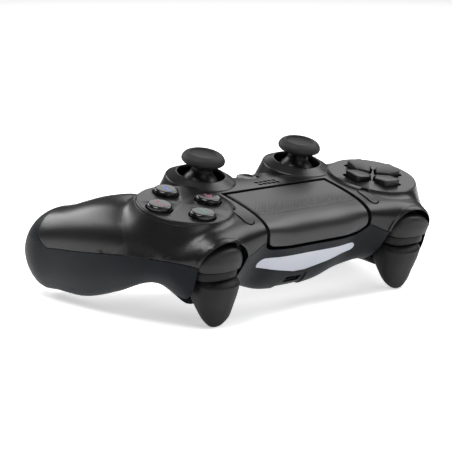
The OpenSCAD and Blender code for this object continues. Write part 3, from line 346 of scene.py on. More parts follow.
class Carving:
    """A piece that is shaped by adding, taking and keeping other shapes, in the deck frame."""

    def __init__(self, base: BMesh) -> None:
        """Starts from a closed shape, which is used up."""
        self.obj = self._object(base)

    @staticmethod
    def _object(bm: BMesh) -> bpy.types.Object:
        """Puts a shape in the scene as an object of its own.

        Args:
            bm: the shape, which is used up.

        Returns:
            The object.
        """
        mesh = bpy.data.meshes.new("carving")
        bm.to_mesh(mesh)
        bm.free()
        obj = bpy.data.objects.new("carving", mesh)
        bpy.context.scene.collection.objects.link(obj)
        return obj

    def apply(self, cut: Cut, *shapes: BMesh) -> "Carving":
        """Applies shapes in turn.

        Args:
            cut: how they meet the piece.
            *shapes: closed shapes, which are used up.

        Returns:
            The carving itself.
        """
        for shape in shapes:
            tool = self._object(shape)
            modifier = self.obj.modifiers.new("carve", "BOOLEAN")
            modifier.operation = cut.value
            modifier.object = tool
            modifier.solver = "MANIFOLD"
            graph = bpy.context.evaluated_depsgraph_get()
            mesh = bpy.data.meshes.new_from_object(self.obj.evaluated_get(graph))
            self.obj.modifiers.clear()
            old = self.obj.data
            self.obj.data = mesh
            bpy.data.meshes.remove(old)
            bpy.data.objects.remove(tool)
        return self

    def shape(self) -> BMesh:
        """Hands the finished shape over and clears the carving away.

        Returns:
            The shape.
        """
        bm = bmesh.new()
        bm.from_mesh(self.obj.data)
        mesh = self.obj.data
        bpy.data.objects.remove(self.obj)
        bpy.data.meshes.remove(mesh)
        return bm


@dataclass(frozen=True)
class Ride:
    """Where a finished piece belongs."""

    body: str
    slot: str
    nodes: tuple[str, ...] = ()


def piece(name: str, bm: BMesh, material: bpy.types.Material, ride: Ride,
          crease: float = 38.0) -> bpy.types.Object:
    """Makes a piece of the controller from a shape in the deck frame.

    Args:
        name: name of the piece.
        bm: its shape, which is used up.
        material: its finish.
        ride: the body it moves with and the nodes it stands for.
        crease: turn in degrees above which an edge stays sharp.

    Returns:
        The object, in the row frame.
    """
    placed(bm, STANCE.matrix())
    for face in bm.faces:
        face.smooth = True
    mesh = bpy.data.meshes.new(name)
    bm.to_mesh(mesh)
    bm.free()
    mesh.set_sharp_from_angle(angle=math.radians(crease))
    mesh.materials.append(material)
    obj = bpy.data.objects.new(name, mesh)
    bpy.context.scene.collection.objects.link(obj)
    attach(obj, ride.body)
    if ride.nodes:
        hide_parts(*ride.nodes)
    LOG.info("%s: %d faces on %s", name, len(mesh.polygons), ride.body)
    return obj


# Finishes


def linear(hex_colour: str) -> tuple[float, float, float, float]:
    """Turns an sRGB hex colour to linear.

    Args:
        hex_colour: a colour such as #202124.

    Returns:
        Red, green, blue and alpha.
    """
    parts = [int(hex_colour[i:i + 2], 16) / 255 for i in (1, 3, 5)]
    return (*[c / 12.92 if c <= 0.04045 else ((c + 0.055) / 1.055) ** 2.4 for c in parts], 1.0)


def add_node(tree: bpy.types.NodeTree, kind: str, settings: dict | None = None, values: dict | None = None,
             links: dict | None = None) -> bpy.types.Node:
    """Adds one node with its settings, socket values and links.

    Args:
        tree: the node tree.
        kind: the node's type.
        settings: attributes of the node.
        values: input sockets by name or number, and their values.
        links: input sockets by name or number, and the node and output that feed them.

    Returns:
        The node.
    """
    node = tree.nodes.new(kind)
    for key, value in (settings or {}).items():
        setattr(node, key, value)
    for key, value in (values or {}).items():
        node.inputs[key].default_value = value
    for key, (source, output) in (links or {}).items():
        tree.links.new(source.outputs[output], node.inputs[key])
    return node


@dataclass(frozen=True)
class Dots:
    """Moulded dots over the part of a surface that lies behind a line across the deck."""

    pitch_mm: float
    depth_mm: float
    limit_mm: float
    fade_mm: float = 1.5
    jitter: float = 0.08
    flank: tuple[float, float] = (0.15, 0.45)  # top and foot of a dot, in pitches from its middle
    turn: float = math.radians(45)


@dataclass(frozen=True)
class Finish:
    """A moulded or metal surface: two close tints, a grain that breaks its gloss, and softened edges."""

    title: str
    tint: str
    fleck: str
    rough: tuple[float, float]
    grain_mm: float
    depth_mm: float
    ior: float = 1.46
    specular: float = 0.5
    metallic: float = 0.0
    edge_mm: float = 0.25
    glow: float = 0.0
    dots: Dots | None = None

    metal_ior: ClassVar[float] = 1.5
    cloud_grains: ClassVar[float] = 40
    fleck_from: ClassVar[tuple[float, float]] = (0.12, 0.42)  # grain strength of pure tint and pure fleck
    grain_from: ClassVar[tuple[float, float]] = (0.3, 0.7)  # grain strength of least and most roughness
    edge_samples: ClassVar[int] = 6
    glow_mm: ClassVar[float] = 2.0

    @cached_property
    def material(self) -> bpy.types.Material:
        """The finish as a node material.

        Returns:
            The material, which is made once.
        """
        made = bpy.data.materials.new(self.title)
        made.use_nodes = True
        tree = made.node_tree
        tree.nodes.clear()
        place = add_node(tree, "ShaderNodeTexCoord")
        grain = add_node(tree, "ShaderNodeTexNoise", values={
            "Scale": 1 / (self.grain_mm * MM), "Detail": 3.0, "Roughness": 0.6}, links={"Vector": (place, "Object")})
        cloud = add_node(tree, "ShaderNodeTexNoise", values={
            "Scale": 1 / (self.grain_mm * MM * self.cloud_grains), "Detail": 2.0}, links={"Vector": (place, "Object")})
        blend = add_node(tree, "ShaderNodeMath", {"operation": "MULTIPLY"},
                         links={0: (grain, "Fac"), 1: (cloud, "Fac")})
        ramp = add_node(tree, "ShaderNodeValToRGB", links={"Fac": (blend, "Value")})
        for stop, place_on, colour in zip(ramp.color_ramp.elements, self.fleck_from, (self.tint, self.fleck)):
            stop.position, stop.color = place_on, linear(colour)
        rough = add_node(tree, "ShaderNodeMapRange", values={
            "From Min": self.grain_from[0], "From Max": self.grain_from[1],
            "To Min": self.rough[0], "To Max": self.rough[1]}, links={"Value": (grain, "Fac")})
        edge = add_node(tree, "ShaderNodeBevel", {"samples": self.edge_samples}, {"Radius": self.edge_mm * MM})
        bump = add_node(tree, "ShaderNodeBump", values={"Strength": 1.0, "Distance": self.depth_mm * MM},
                        links={"Height": (grain, "Fac"), "Normal": (edge, "Normal")})
        if self.dots:
            bump = self._dotted(tree, place, bump)
        shader = add_node(tree, "ShaderNodeBsdfPrincipled", values={
            "IOR": self.metal_ior if self.metallic else self.ior, "Metallic": self.metallic,
            "Specular IOR Level": self.specular, "Subsurface Weight": self.glow,
            "Subsurface Scale": self.glow_mm * MM},
            links={"Base Color": (ramp, "Color"), "Roughness": (rough, "Result"), "Normal": (bump, "Normal")})
        add_node(tree, "ShaderNodeOutputMaterial", links={"Surface": (shader, "BSDF")})
        return made

    def _dotted(self, tree: bpy.types.NodeTree, place: bpy.types.Node, under: bpy.types.Node) -> bpy.types.Node:
        """Adds the moulded dots on top of the grain.

        Args:
            tree: the node tree.
            place: the coordinates.
            under: the bump that the dots stand on.

        Returns:
            The bump with dots.
        """
        dots = self.dots
        deck = add_node(tree, "ShaderNodeMapping", {"vector_type": "TEXTURE"}, {
            "Location": STANCE.offset, "Rotation": (-STANCE.tilt, 0, 0)}, {"Vector": (place, "Object")})
        axes = add_node(tree, "ShaderNodeSeparateXYZ", links={"Vector": (deck, "Vector")})
        turned = add_node(tree, "ShaderNodeMapping", values={"Rotation": (0, 0, dots.turn)},
                          links={"Vector": (deck, "Vector")})
        cells = add_node(tree, "ShaderNodeTexVoronoi", values={
            "Scale": 1 / (dots.pitch_mm * MM), "Randomness": dots.jitter}, links={"Vector": (turned, "Vector")})
        peak = add_node(tree, "ShaderNodeMapRange", {"interpolation_type": "SMOOTHSTEP"}, {
            "From Min": dots.flank[0], "From Max": dots.flank[1], "To Min": 1.0, "To Max": 0.0},
            {"Value": (cells, "Distance")})
        edge, inside = dots.limit_mm * MM, (dots.limit_mm - dots.fade_mm) * MM
        where = add_node(tree, "ShaderNodeMapRange", {"interpolation_type": "SMOOTHSTEP"}, {
            "From Min": edge, "From Max": inside, "To Min": 0.0, "To Max": 1.0}, {"Value": (axes, "Y")})
        height = add_node(tree, "ShaderNodeMath", {"operation": "MULTIPLY"},
                          links={0: (peak, "Result"), 1: (where, "Result")})
        return add_node(tree, "ShaderNodeBump", values={"Strength": 1.0, "Distance": dots.depth_mm * MM},
                        links={"Height": (height, "Value"), "Normal": (under, "Normal")})


# Spark erosion leaves a grain of about 0.05 mm in a mould. That is too fine to show at this size, so grains are drawn
# at 0.3 to 1 mm. Moulded dots stand about 0.6 mm apart. They are drawn at 0.9 mm on the grips, 1.2 mm on the touch pad.

# Spark-eroded ABS: a satin black that spreads highlights into broad soft bands
SHELL_TOP = Finish("ABS_satin_charcoal", "#111112", "#171718", (0.27, 0.36), 0.35, 0.004, specular=0.34)
# The same ABS with a little blue in it, duller, with fine dots moulded over the grip ends
SHELL_BOTTOM = Finish("ABS_satin_slate", "#0D1013", "#15191E", (0.38, 0.50), 0.35, 0.006, specular=0.1,
                      dots=Dots(0.9, 0.05, TONGUE_Y))
# Pebbled polycarbonate: dots catch the light over the flat part and stop at the fold
TOUCH_PLATE = Finish("polycarbonate_pebbled", "#1B1B1C", "#222223", (0.34, 0.44), 0.35, 0.005,
                     dots=Dots(1.2, 0.22, FOLD_Y))
# Frosted polycarbonate: pale, faintly lavender, light bleeds through it
LENS_PLASTIC = Finish("polycarbonate_frosted", "#C9CCD6", "#D3D6DF", (0.28, 0.36), 0.5, 0.002, glow=0.25)
# Polished black ABS: sharp bright edges on a nearly black face
KEY_GLOSS = Finish("ABS_polished_black", "#0B0B0C", "#101011", (0.14, 0.22), 0.6, 0.001)
# Fine-grained ABS of the direction pad: dull top, clear edges
PAD_SATIN = Finish("ABS_fine_grain_black", "#101011", "#161617", (0.30, 0.42), 0.3, 0.006)
# Matt silicone rubber: dark, no clear highlight
CAP_RUBBER = Finish("silicone_rubber_black", "#161617", "#1D1D1E", (0.55, 0.68), 0.3, 0.008, specular=0.35)
# Coarser spark-eroded ABS of the shoulder buttons: grey, with a visible speckle
SHOULDER = Finish("ABS_grained_charcoal", "#151516", "#1F1F20", (0.42, 0.58), 0.5, 0.02, specular=0.3)
# The same grain on the triggers: a shade darker, with less sheen
TRIGGER = Finish("ABS_grained_dark", "#101011", "#18181A", (0.42, 0.58), 0.5, 0.016, specular=0.2)
# The same grain on the strip that lies back between them: blacker and duller
STRIP = Finish("ABS_grained_black", "#0E0E0F", "#151516", (0.45, 0.6), 0.5, 0.012, specular=0.2)
# Black ABS from a plain mould: nearly black, with a narrow sheen on round parts
INNER_BLACK = Finish("ABS_moulded_black", "#09090A", "#0E0E0F", (0.3, 0.42), 0.5, 0.004, specular=0.2)
# Grey ABS of the inner frame: even and dull
INNER_GREY = Finish("ABS_moulded_grey", "#6C6E72", "#7B7D81", (0.4, 0.55), 0.6, 0.006)
# Grey silicone of the dome sheets: matt, no clear highlight
DOME_RUBBER = Finish("silicone_grey", "#7A7B7E", "#8A8B8E", (0.5, 0.65), 0.6, 0.006)
# Green solder mask over laminate: dark, with a thin even gloss
BOARD = Finish("fr4_solder_mask", "#0E3A22", "#15492C", (0.3, 0.42), 0.8, 0.003)
# Shrunk vinyl wrap of the battery: dark, with a soft sheen
CELL = Finish("pvc_wrap_dark", "#1B1C20", "#24252A", (0.3, 0.45), 1.0, 0.004)
# Phenolic laminate of the stick sensors: dull, and drawn dark brown instead of its own amber, a painted shade for the
# dark inside the stick openings
SENSOR_PAINTED_SHADE = Finish("phenolic_laminate_painted_shade", "#2E2114", "#3A2A19", (0.4, 0.55), 0.6, 0.004)
# Drawn steel: bright, brushed by the die
STEEL = Finish("steel_drawn", "#B9BABD", "#CBCCCF", (0.22, 0.34), 0.3, 0.002, metallic=1.0)
# Nickel plate in the shade of the charging inlet: dull and dark
INLET = Finish("steel_nickel_plated", "#3A3B3E", "#48494C", (0.35, 0.5), 0.3, 0.002, metallic=1.0)
# Sintered steel of the rumble weights: grey, porous, no clear highlight
SINTER = Finish("steel_sintered", "#76777A", "#85868A", (0.45, 0.6), 0.4, 0.01, metallic=1.0)
# Paper cone of the loudspeaker: black and quite matt
CONE = Finish("paper_cone_black", "#151516", "#1F1F20", (0.6, 0.75), 0.4, 0.01)


# The body


class Section(NamedTuple):
    """One upright section of the body: its two ends, and its rise, drop, squareness and lean between them."""

    inner_x: float
    inner_y: float
    inner_z: float
    outer_x: float
    outer_y: float
    outer_z: float
    rise_in: float
    rise_out: float
    drop_in: float
    drop_out: float
    square_in: float
    square_out: float
    square_low: float
    lean: float


WHOLE, UPPER, LOWER = (0.0, 360.0), (0.0, 180.0), (180.0, 360.0)


@dataclass
class BodyForm:
    """One horseshoe of upright sections, from one grip round the front to the other."""

    width: float = 163.0
    rear_edge: float = 32.0
    front_edge: float = 25.2
    grip_reach: float = 64.0
    grip_drop: float = 33.8
    seam_drop: float = 12.0
    belly: float = 31.0
    lean: float = 0.47
    wall: float = 2.0
    seam_gap: float = 0.3
    tip_length: float = 20.0
    tip_square: float = 2.75
    tip_sink: float = 1.45
    tip_steps: int = 7
    tip_turn: float = 88.0
    tip_solid: int = 2
    steps: int = 6
    tip_cuts: int = 2
    around: int = 88
    centre_last: int = 4
    grip_first: int = 5

    @cached_property
    def stations(self) -> list[Section]:
        """Sections that are listed one by one, from the middle out to the grip.

        Returns:
            The sections in order.
        """
        half, rear, front = self.width / 2, -self.rear_edge, self.front_edge
        seam, belly, lean, reach, drop = -self.seam_drop, self.belly, self.lean, self.grip_reach, self.grip_drop
        return [Section(*row) for row in (
            (0, rear, -11, 0, front, seam, 10.2, 11.4, 11, belly, 1.9, 3.3, 6, lean),
            (14, rear - 2, -11, 14, front, seam, 10.2, 11.4, 11, belly - 1, 1.9, 3.3, 5.5, lean),
            (26, rear - 4, -12, 26, front, seam + 3.2, 10.8, 8.4, 11, belly - 1.8, 2.4, 3.5, 4.6, lean - 0.04),
            (36, rear - 3, -14, 38, front + 2, seam - 1, 12, 13, 12, belly - 9, 2.6, 3.6, 3.2, 0.4),
            (41, rear - 2, -17, half - 26.1, 29.6, seam - 2, 13.9, 13, 15, belly - 9, 2.7, 3.3, 5.8, 0.1),
            (44, rear - 3, -20, half - 14.2, 18.4, seam - 2, 15, 10.2, 16.2, 14.2, 2.4, 1.7, 2.8, 0.1),
            (47, 26 - reach, -24, half - 7, 0, -18, 18.4, 15.4, 24, 19.2, 2.3, 2.2, 2.2, 0),
            (50, 19 - reach, -29.6, half - 2.2, 42 - reach, 8.6 - drop, 19, 17.4, 24.4, 23.8, 2.2, 2.2, 1.8, 0),
            (53, 9 - reach, -1.7 - drop, half, 21 - reach, 1.8 - drop, 16.6, 14.8, 22.2, 21, 2.2, 2.2, 1.9, 0),
        )]

    @cached_property
    def sections(self) -> list[Section]:
        """The given sections and the ever smaller ones that close the grip end.

        Returns:
            The sections in order.
        """
        last, before = self.stations[-1], self.stations[-2]
        centre, earlier = (Vector([(a + b) / 2 for a, b in zip(row[:3], row[3:6])]) for row in (last, before))
        axis = (centre - earlier).normalized()
        spread = Vector([(b - a) / 2 for a, b in zip(last[:3], last[3:6])])
        rows = list(self.stations)
        for k in range(1, self.tip_steps + 1):
            angle = math.radians(self.tip_turn * k / self.tip_steps)
            shrink, sink = math.cos(angle) ** (2 / self.tip_square), math.cos(angle) ** self.tip_sink
            middle = centre + axis * self.tip_length * math.sin(angle) ** (2 / self.tip_square)
            rows.append(Section(*(middle - spread * shrink), *(middle + spread * shrink), last.rise_in * shrink,
                                last.rise_out * shrink, last.drop_in * sink, last.drop_out * sink, *last[10:]))
        return rows

    def _row(self, index: int) -> Section:
        """A section by number; numbers below zero are on the other half."""
        row = self.sections[min(abs(index), len(self.sections) - 1)]
        return row if index >= 0 else row._replace(inner_x=-row.inner_x, outer_x=-row.outer_x)

    def section(self, place: float) -> Section:
        """The section at a place along the horseshoe, on a smooth curve through the given ones.

        Args:
            place: number of a section, or a place between two.

        Returns:
            The section.
        """
        index = min(len(self.sections) - 2, math.floor(place))
        return Section(*between([self._row(index + k) for k in (-1, 0, 1, 2)], place - index))

    @staticmethod
    def point(row: Section, side: int, inset: float, angle: float) -> Vector:
        """One point of a section.

        Args:
            row: the section.
            side: 1 for the right half, -1 for the left.
            inset: distance in from the outside.
            angle: turn from the outer end up and round, in degrees.

        Returns:
            The point in the deck frame.
        """
        c, s = math.cos(math.radians(angle)), math.sin(math.radians(angle))
        power = 2 / (row.square_low if s < 0 else row.square_out if c >= 0 else row.square_in)
        reach = math.hypot(row.outer_x - row.inner_x, row.outer_y - row.inner_y) / 2
        across = math.copysign(abs(c) ** power, c) * (reach - inset) / reach
        up = abs(s) ** power
        share = (across + 1) / 2
        x, y, z = (a + (b - a) * share for a, b in zip(row[:3], row[3:6]))
        if s < 0:
            height = -(row.drop_in + (row.drop_out - row.drop_in) * share - inset) * up
            y += row.lean * height * share
        else:
            height = (row.rise_in + (row.rise_out - row.rise_in) * share - inset) * up
        return Vector((side * x, y, z + height))

    def places(self, first: float, last: float) -> list[float]:
        """Places along one half where sections are drawn.

        Args:
            first: place of the first section.
            last: place of the last one.

        Returns:
            The places in order.
        """
        given = len(self.stations) - 1
        near = [k / self.steps for k in range(given * self.steps + 1)]
        tip = [given + k / self.tip_cuts for k in range(1, self.tip_steps * self.tip_cuts + 1)]
        return [u for u in near + tip if first <= u <= last]

    def ring(self, place: float, side: int, inset: float, arc: tuple[float, float], lift: float) -> list[Vector]:
        """A ring of points, whole or part of the way round.

        Args:
            place: place of the section along the horseshoe.
            side: 1 for the right half, -1 for the left.
            inset: distance in from the outside.
            arc: part of the way round, in degrees.
            lift: shift out of the deck.

        Returns:
            The points in order.
        """
        row = self.section(place)
        start, turn = arc[0], arc[1] - arc[0]
        count = round(self.around * turn / 360)
        stops = count if turn >= 360 else count + 1
        up = Vector((0, 0, lift))
        return [self.point(row, side, inset, start + turn * k / count) + up for k in range(stops)]

    def form(self, last: float, inset: float = 0.0, arc: tuple[float, float] = WHOLE, lift: float = 0.0,
             first: float = 0.0) -> BMesh:
        """The body or a stretch of it.

        Args:
            last: place where it ends.
            inset: distance in from the outside.
            arc: part of the way round, in degrees.
            lift: shift out of the deck.
            first: place where it starts; 0 takes in both halves.

        Returns:
            The closed shape.
        """
        stops = self.places(first, last)
        rings = [self.ring(u, 1, inset, arc, lift) for u in stops]
        if first == 0:
            rings = [self.ring(u, -1, inset, arc, lift) for u in reversed(stops[1:])] + rings
        return loft(rings)

    def hollow(self) -> BMesh:
        """The room inside the walls, which stops short of the grip ends."""
        return self.form(self.end - self.tip_solid, self.wall)

    @property
    def end(self) -> int:
        """Place of the grip end."""
        return len(self.sections) - 1


BODY = BodyForm()


# Shoulders


class Slice(NamedTuple):
    """One level cut of an upright form: height, middle, half width, front, back, and squareness at those two."""

    height: float
    middle: float
    half: float
    front: float
    back: float
    square_front: float
    square_back: float


@dataclass(frozen=True)
class Tongue:
    """A smooth upright form through level cuts, and plain ones beyond its last."""

    rows: tuple[Slice, ...]
    around: int = 64
    steps: int = 8
    beyond: tuple[Slice, ...] = ()

    def smooth(self) -> list[Slice]:
        """The rows with smooth ones between them.

        Returns:
            The cuts from the first row to the last.
        """
        last = len(self.rows) - 1
        made = []
        for i in range(last * self.steps + 1):
            k = min(last - 1, i // self.steps)
            near = [self.rows[max(0, min(last, k + n))] for n in (-1, 0, 1, 2)]
            made.append(Slice(*between(near, i / self.steps - k)))
        return made

    def ring(self, row: Slice) -> list[Vector]:
        """One ring of the form.

        Args:
            row: the level cut.

        Returns:
            Its points in order.
        """
        points = []
        for k in range(self.around):
            a = 2 * math.pi * k / self.around
            c, s = math.cos(a), math.sin(a)
            power = 2 / (row.square_back if s < 0 else row.square_front)
            across = math.copysign(abs(c) ** power, c) * row.half
            along = math.copysign(abs(s) ** power, s) * (row.front - row.back) / 2
            points.append(Vector((row.middle + across, (row.front + row.back) / 2 + along, row.height)))
        return points

    def form(self) -> BMesh:
        """The whole form as a closed shape."""
        return loft([self.ring(row) for row in (*self.smooth(), *self.beyond)])


@dataclass(frozen=True)
class Shoulder:
    """Shoulder button, trigger, the strip between them and the bay that they stand in."""

    x: float = 49.6
    bumper_half: float = 10.3
    bumper_foot: float = -15.8
    bumper_top: float = -7.2
    bumper_back: float = 19.0
    bumper_edge: float = 0.35
    trigger_in: float = 1.0
    trigger_half: float = 9.3
    trigger_drop: float = 40.2
    trigger_front: float = 31.0
    trigger_back: float = 16.2
    trigger_top: float = -20.5
    arch_x: float = 49.2
    arch_z: float = -14.0
    arch_high: float = 9.4
    arch_gap: float = 1.2
    arch_steps: int = 48
    bay_back: float = 13.0
    lip_back: float = 15.6
    lip_top: float = -25.5
    hinge: tuple[float, float] = (16.6, -23.6)  # y and z
    ear_r: float = 2.6
    ear_thick: float = 2.2
    ear_inset: float = 0.5
    pocket_front: float = 23.5
    pocket_low: float = -31.0
    strip_gap: float = 0.6
    strip_out: float = 0.3
    strip_slim: float = 0.2
    strip_sunk: float = 2.3
    strip_root: float = 1.6
    strip_edge: float = 0.4
    plate_wider: float = 0.4
    plate_thick: float = 2.4
    plate_low: float = -22.0
    plate_top: float = -10.4

    def bumper(self) -> Tongue:
        """Level cuts of the shoulder button, from its foot to its narrow top.

        Returns:
            The form.
        """
        x, h, f, b, low = self.x, self.bumper_half, self.trigger_front, self.bumper_back, self.bumper_foot
        top = self.bumper_top
        tall = top - low
        return Tongue((
            Slice(low, x + 0.4, h, f - 1, b, 2.4, 3),
            Slice(low + 0.38 * tall, x + 0.6, h + 0.1, f - 0.6, b, 2.4, 3),
            Slice(low + 0.62 * tall, x + 0.1, h - 1, f - 0.8, b, 2.4, 3),
            Slice(low + 0.82 * tall, x - 0.5, h - 2.9, f - 1.2, b + 0.5, 2.4, 3),
            Slice(low + 0.95 * tall, x - 1.1, h - 5.4, f - 1.9, b + 1.5, 2.4, 2.6),
            Slice(top, x - 1.4, h - 7.6, f - 2.8, b + 3, 2.2, 2)))

    def trigger(self) -> Tongue:
        """Level cuts of the trigger, from its tip up to the crease, and the ledge beyond it.

        Returns:
            The form.
        """
        x, h, f, b = self.x - self.trigger_in, self.trigger_half, self.trigger_front, self.trigger_back
        tip, top = -self.trigger_drop, self.trigger_top
        return Tongue((
            Slice(tip, x + 0.1, 1.1, f - 3.6, b + 10.2, 2, 2),
            Slice(tip + 0.9, x - 0.2, 3.4, f - 2.8, b + 8.8, 2.2, 2.2),
            Slice(tip + 3.7, x - 0.5, h - 3, f - 2.3, b + 6.6, 2.4, 2.6),
            Slice(tip + 8.2, x - 0.4, h - 1.3, f - 1.6, b + 2.7, 2.5, 3.4),
            Slice(top - 6.5, x - 0.1, h - 0.2, f - 0.6, b, 2.6, 5),
            Slice(top - 2, x, h, f, b, 2.6, 5)),
            beyond=(Slice(top - 1.75, x, h, f - 0.12, b, 2.6, 5), Slice(top, x, h - 0.4, f - 2.6, b, 2.6, 5)))

    def arch(self, grow: float) -> Outline:
        """Front view of the bay, half round above.

        Args:
            grow: allowance all round.

        Returns:
            The outline in x and z.
        """
        half, high = self.bumper_half + self.arch_gap + grow, self.arch_high + grow
        round_top = [(self.arch_x + half * math.cos(a), self.arch_z + high * math.sin(a))
                     for a in turns(180, self.arch_steps)]
        return [(self.arch_x + half, -BODY.width), *round_top, (self.arch_x - half, -BODY.width)]

    def bay(self, side: Side, grow: float = 0.0) -> BMesh:
        """The arched opening over the shoulder button and down past the trigger.

        Args:
            side: the half it is on.
            grow: allowance all round.

        Returns:
            The closed shape.
        """
        carving = Carving(facing_front(prism(self.arch(grow), self.bay_back, BODY.width)))
        carving.apply(Cut.TAKE, block((0, self.bay_back - 1, self.lip_top - BODY.width),
                                      (BODY.width, self.lip_back, self.lip_top)))
        return sided(carving.shape(), side)

    def build(self, side: Side) -> None:
        """Builds and dresses one shoulder.

        Args:
            side: the half it is on.
        """
        word = side.word
        bumper = softened(self.bumper().form(), self.bumper_edge, sharper=50, segments=2)
        piece(f"shoulder_button_{word}", sided(bumper, side), SHOULDER.material,
              Ride(f"bumper_{word}", "shoulder", (f"bumper_{word}",)))
        piece(f"trigger_tongue_{word}", sided(self._trigger_shape(), side), TRIGGER.material,
              Ride(f"trigger_{word}", "shoulder", (f"trigger_{word}",)))
        piece(f"shoulder_strip_{word}", sided(self._strip_shape(), side), STRIP.material,
              Ride("case", "shoulder", (f"bracket_{word}",)))

    def _trigger_shape(self) -> BMesh:
        """The trigger, hollow behind its face, with an ear on each flank.

        Returns:
            The right-hand shape.
        """
        out = self.trigger_half - self.ear_inset
        inner = out - self.ear_thick
        x = self.x - self.trigger_in
        carving = Carving(self.trigger().form())
        turn = Matrix.Rotation(math.radians(90), 4, "Y")
        for start in (x - out, x + inner):
            place = Matrix.Translation((start, *self.hinge)) @ turn
            carving.apply(Cut.ADD, placed(rod(self.ear_r, 0, self.ear_thick), place))
        carving.apply(Cut.TAKE, block((x - inner, 0, self.pocket_low), (x + inner, self.pocket_front, 0)))
        return carving.shape()

    def _strip_shape(self) -> BMesh:
        """The fixed strip between shoulder button and trigger, with its back plate.

        Returns:
            The right-hand shape.
        """
        low, high = self.trigger_top + self.strip_gap, self.bumper_foot - self.strip_gap
        row = (self.x + self.strip_out, self.bumper_half - self.strip_slim, self.trigger_front - self.strip_sunk,
               self.bay_back - self.strip_root, 3, 5)
        tongue = Tongue((Slice(low, *row), Slice(high, *row)), steps=1)
        half = self.bumper_half + self.plate_wider
        carving = Carving(softened(tongue.form(), self.strip_edge, sharper=60, segments=2))
        carving.apply(Cut.ADD, block((self.x - half, self.bay_back - self.plate_thick, self.plate_low),
                                     (self.x + half, self.bay_back, self.plate_top)))
        return carving.shape()


SHOULDER_SET = Shoulder()


# The housing


@dataclass(frozen=True)
class Deck:
    """Sizes and places of everything let into the deck."""

    group_x: float = 50.0
    plateau_r: float = 18.5
    plateau_wall: float = 0.6
    button_pitch: float = 11.8
    button_r: float = 4.9
    button_proud: float = 1.9
    button_gap: float = 0.35
    pad_reach: float = 12.6
    pad_gap: float = 0.8
    pad_arm: float = 8.4
    pad_corner: float = 1.0
    pad_proud: float = 2.2
    pad_tip: float = 2.0
    pad_taper: float = 3.6
    pad_dish: float = 1.1
    home_r: float = 4.6
    home_y: float = -21.9
    home_top: float = -3.5
    slim_length: float = 10.4
    slim_width: float = 4.2
    slim_at: tuple[float, float] = (33.0, 16.0)  # x and y
    slim_proud: float = 0.5
    touch_half: float = 25.9
    touch_rear: float = 3.7
    touch_gap: float = 1.8
    touch_corner: float = 5.0
    film_proud: float = 0.12
    film_edge: float = 0.5
    stick_x: float = 25.6
    stick_back: float = 21.3
    pod_r: float = 14.3
    mouth_r: float = 9.8
    speaker_y: float = -9.7
    grille_pitch: float = 2.3
    grille_stretch: float = 1.15
    grille_r: float = 1.0
    cut_depth: float = 12.0
    corner_steps: int = 12

    def touch_prism(self, grow: float) -> BMesh:
        """Front view of the touch pad with round lower corners, run along y.

        Args:
            grow: allowance all round.

        Returns:
            The closed shape.
        """
        half, corner = self.touch_half + grow, self.touch_corner + grow
        foot = -BODY.seam_drop - grow
        left = [(-half + corner * (1 - math.cos(a)), foot + corner * (1 - math.sin(a)))
                for a in turns(90, self.corner_steps)]
        right = [(-x, z) for x, z in reversed(left)]
        outline = [(-half, BODY.width), *left, *right, (half, BODY.width)]
        return facing_front(prism(outline, -self.touch_rear - grow, 2 * BODY.front_edge))

    def pad_outline(self, grow: float) -> Outline:
        """One point-ended arm of the direction pad, towards +y.

        Args:
            grow: allowance all round.

        Returns:
            The outline in x and y.
        """
        half, end, corner = self.pad_arm / 2 + grow, self.pad_reach + grow, self.pad_corner
        slope = self.pad_taper / (self.pad_arm / 2)
        tip = self.pad_tip - grow * math.sqrt(1 + slope * slope)
        return [(0, tip), (half, tip + slope * half), (half, end - corner), (half - corner, end),
                (corner - half, end), (-half, end - corner), (-half, tip + slope * half)]

    def slim_outline(self, grow: float) -> Outline:
        """A small oblong button, seen from above.

        Args:
            grow: allowance all round.

        Returns:
            The outline in x and y.
        """
        r, run = self.slim_width / 2 + grow, (self.slim_length - self.slim_width) / 2
        half_turn = turns(180, self.corner_steps)
        return ([(r * math.cos(a), run + r * math.sin(a)) for a in half_turn]
                + [(-r * math.cos(a), -run - r * math.sin(a)) for a in half_turn])

    def spot(self, turn: int) -> tuple[float, float]:
        """Centre of a face button, counted from the player's right, anticlockwise."""
        a = math.radians(90 * turn)
        return self.group_x + self.button_pitch * math.cos(a), self.button_pitch * math.sin(a)

    def stick(self, side: Side) -> tuple[float, float]:
        """Centre of a thumb stick."""
        return side.value * self.stick_x, -self.stick_back


DECK = Deck()


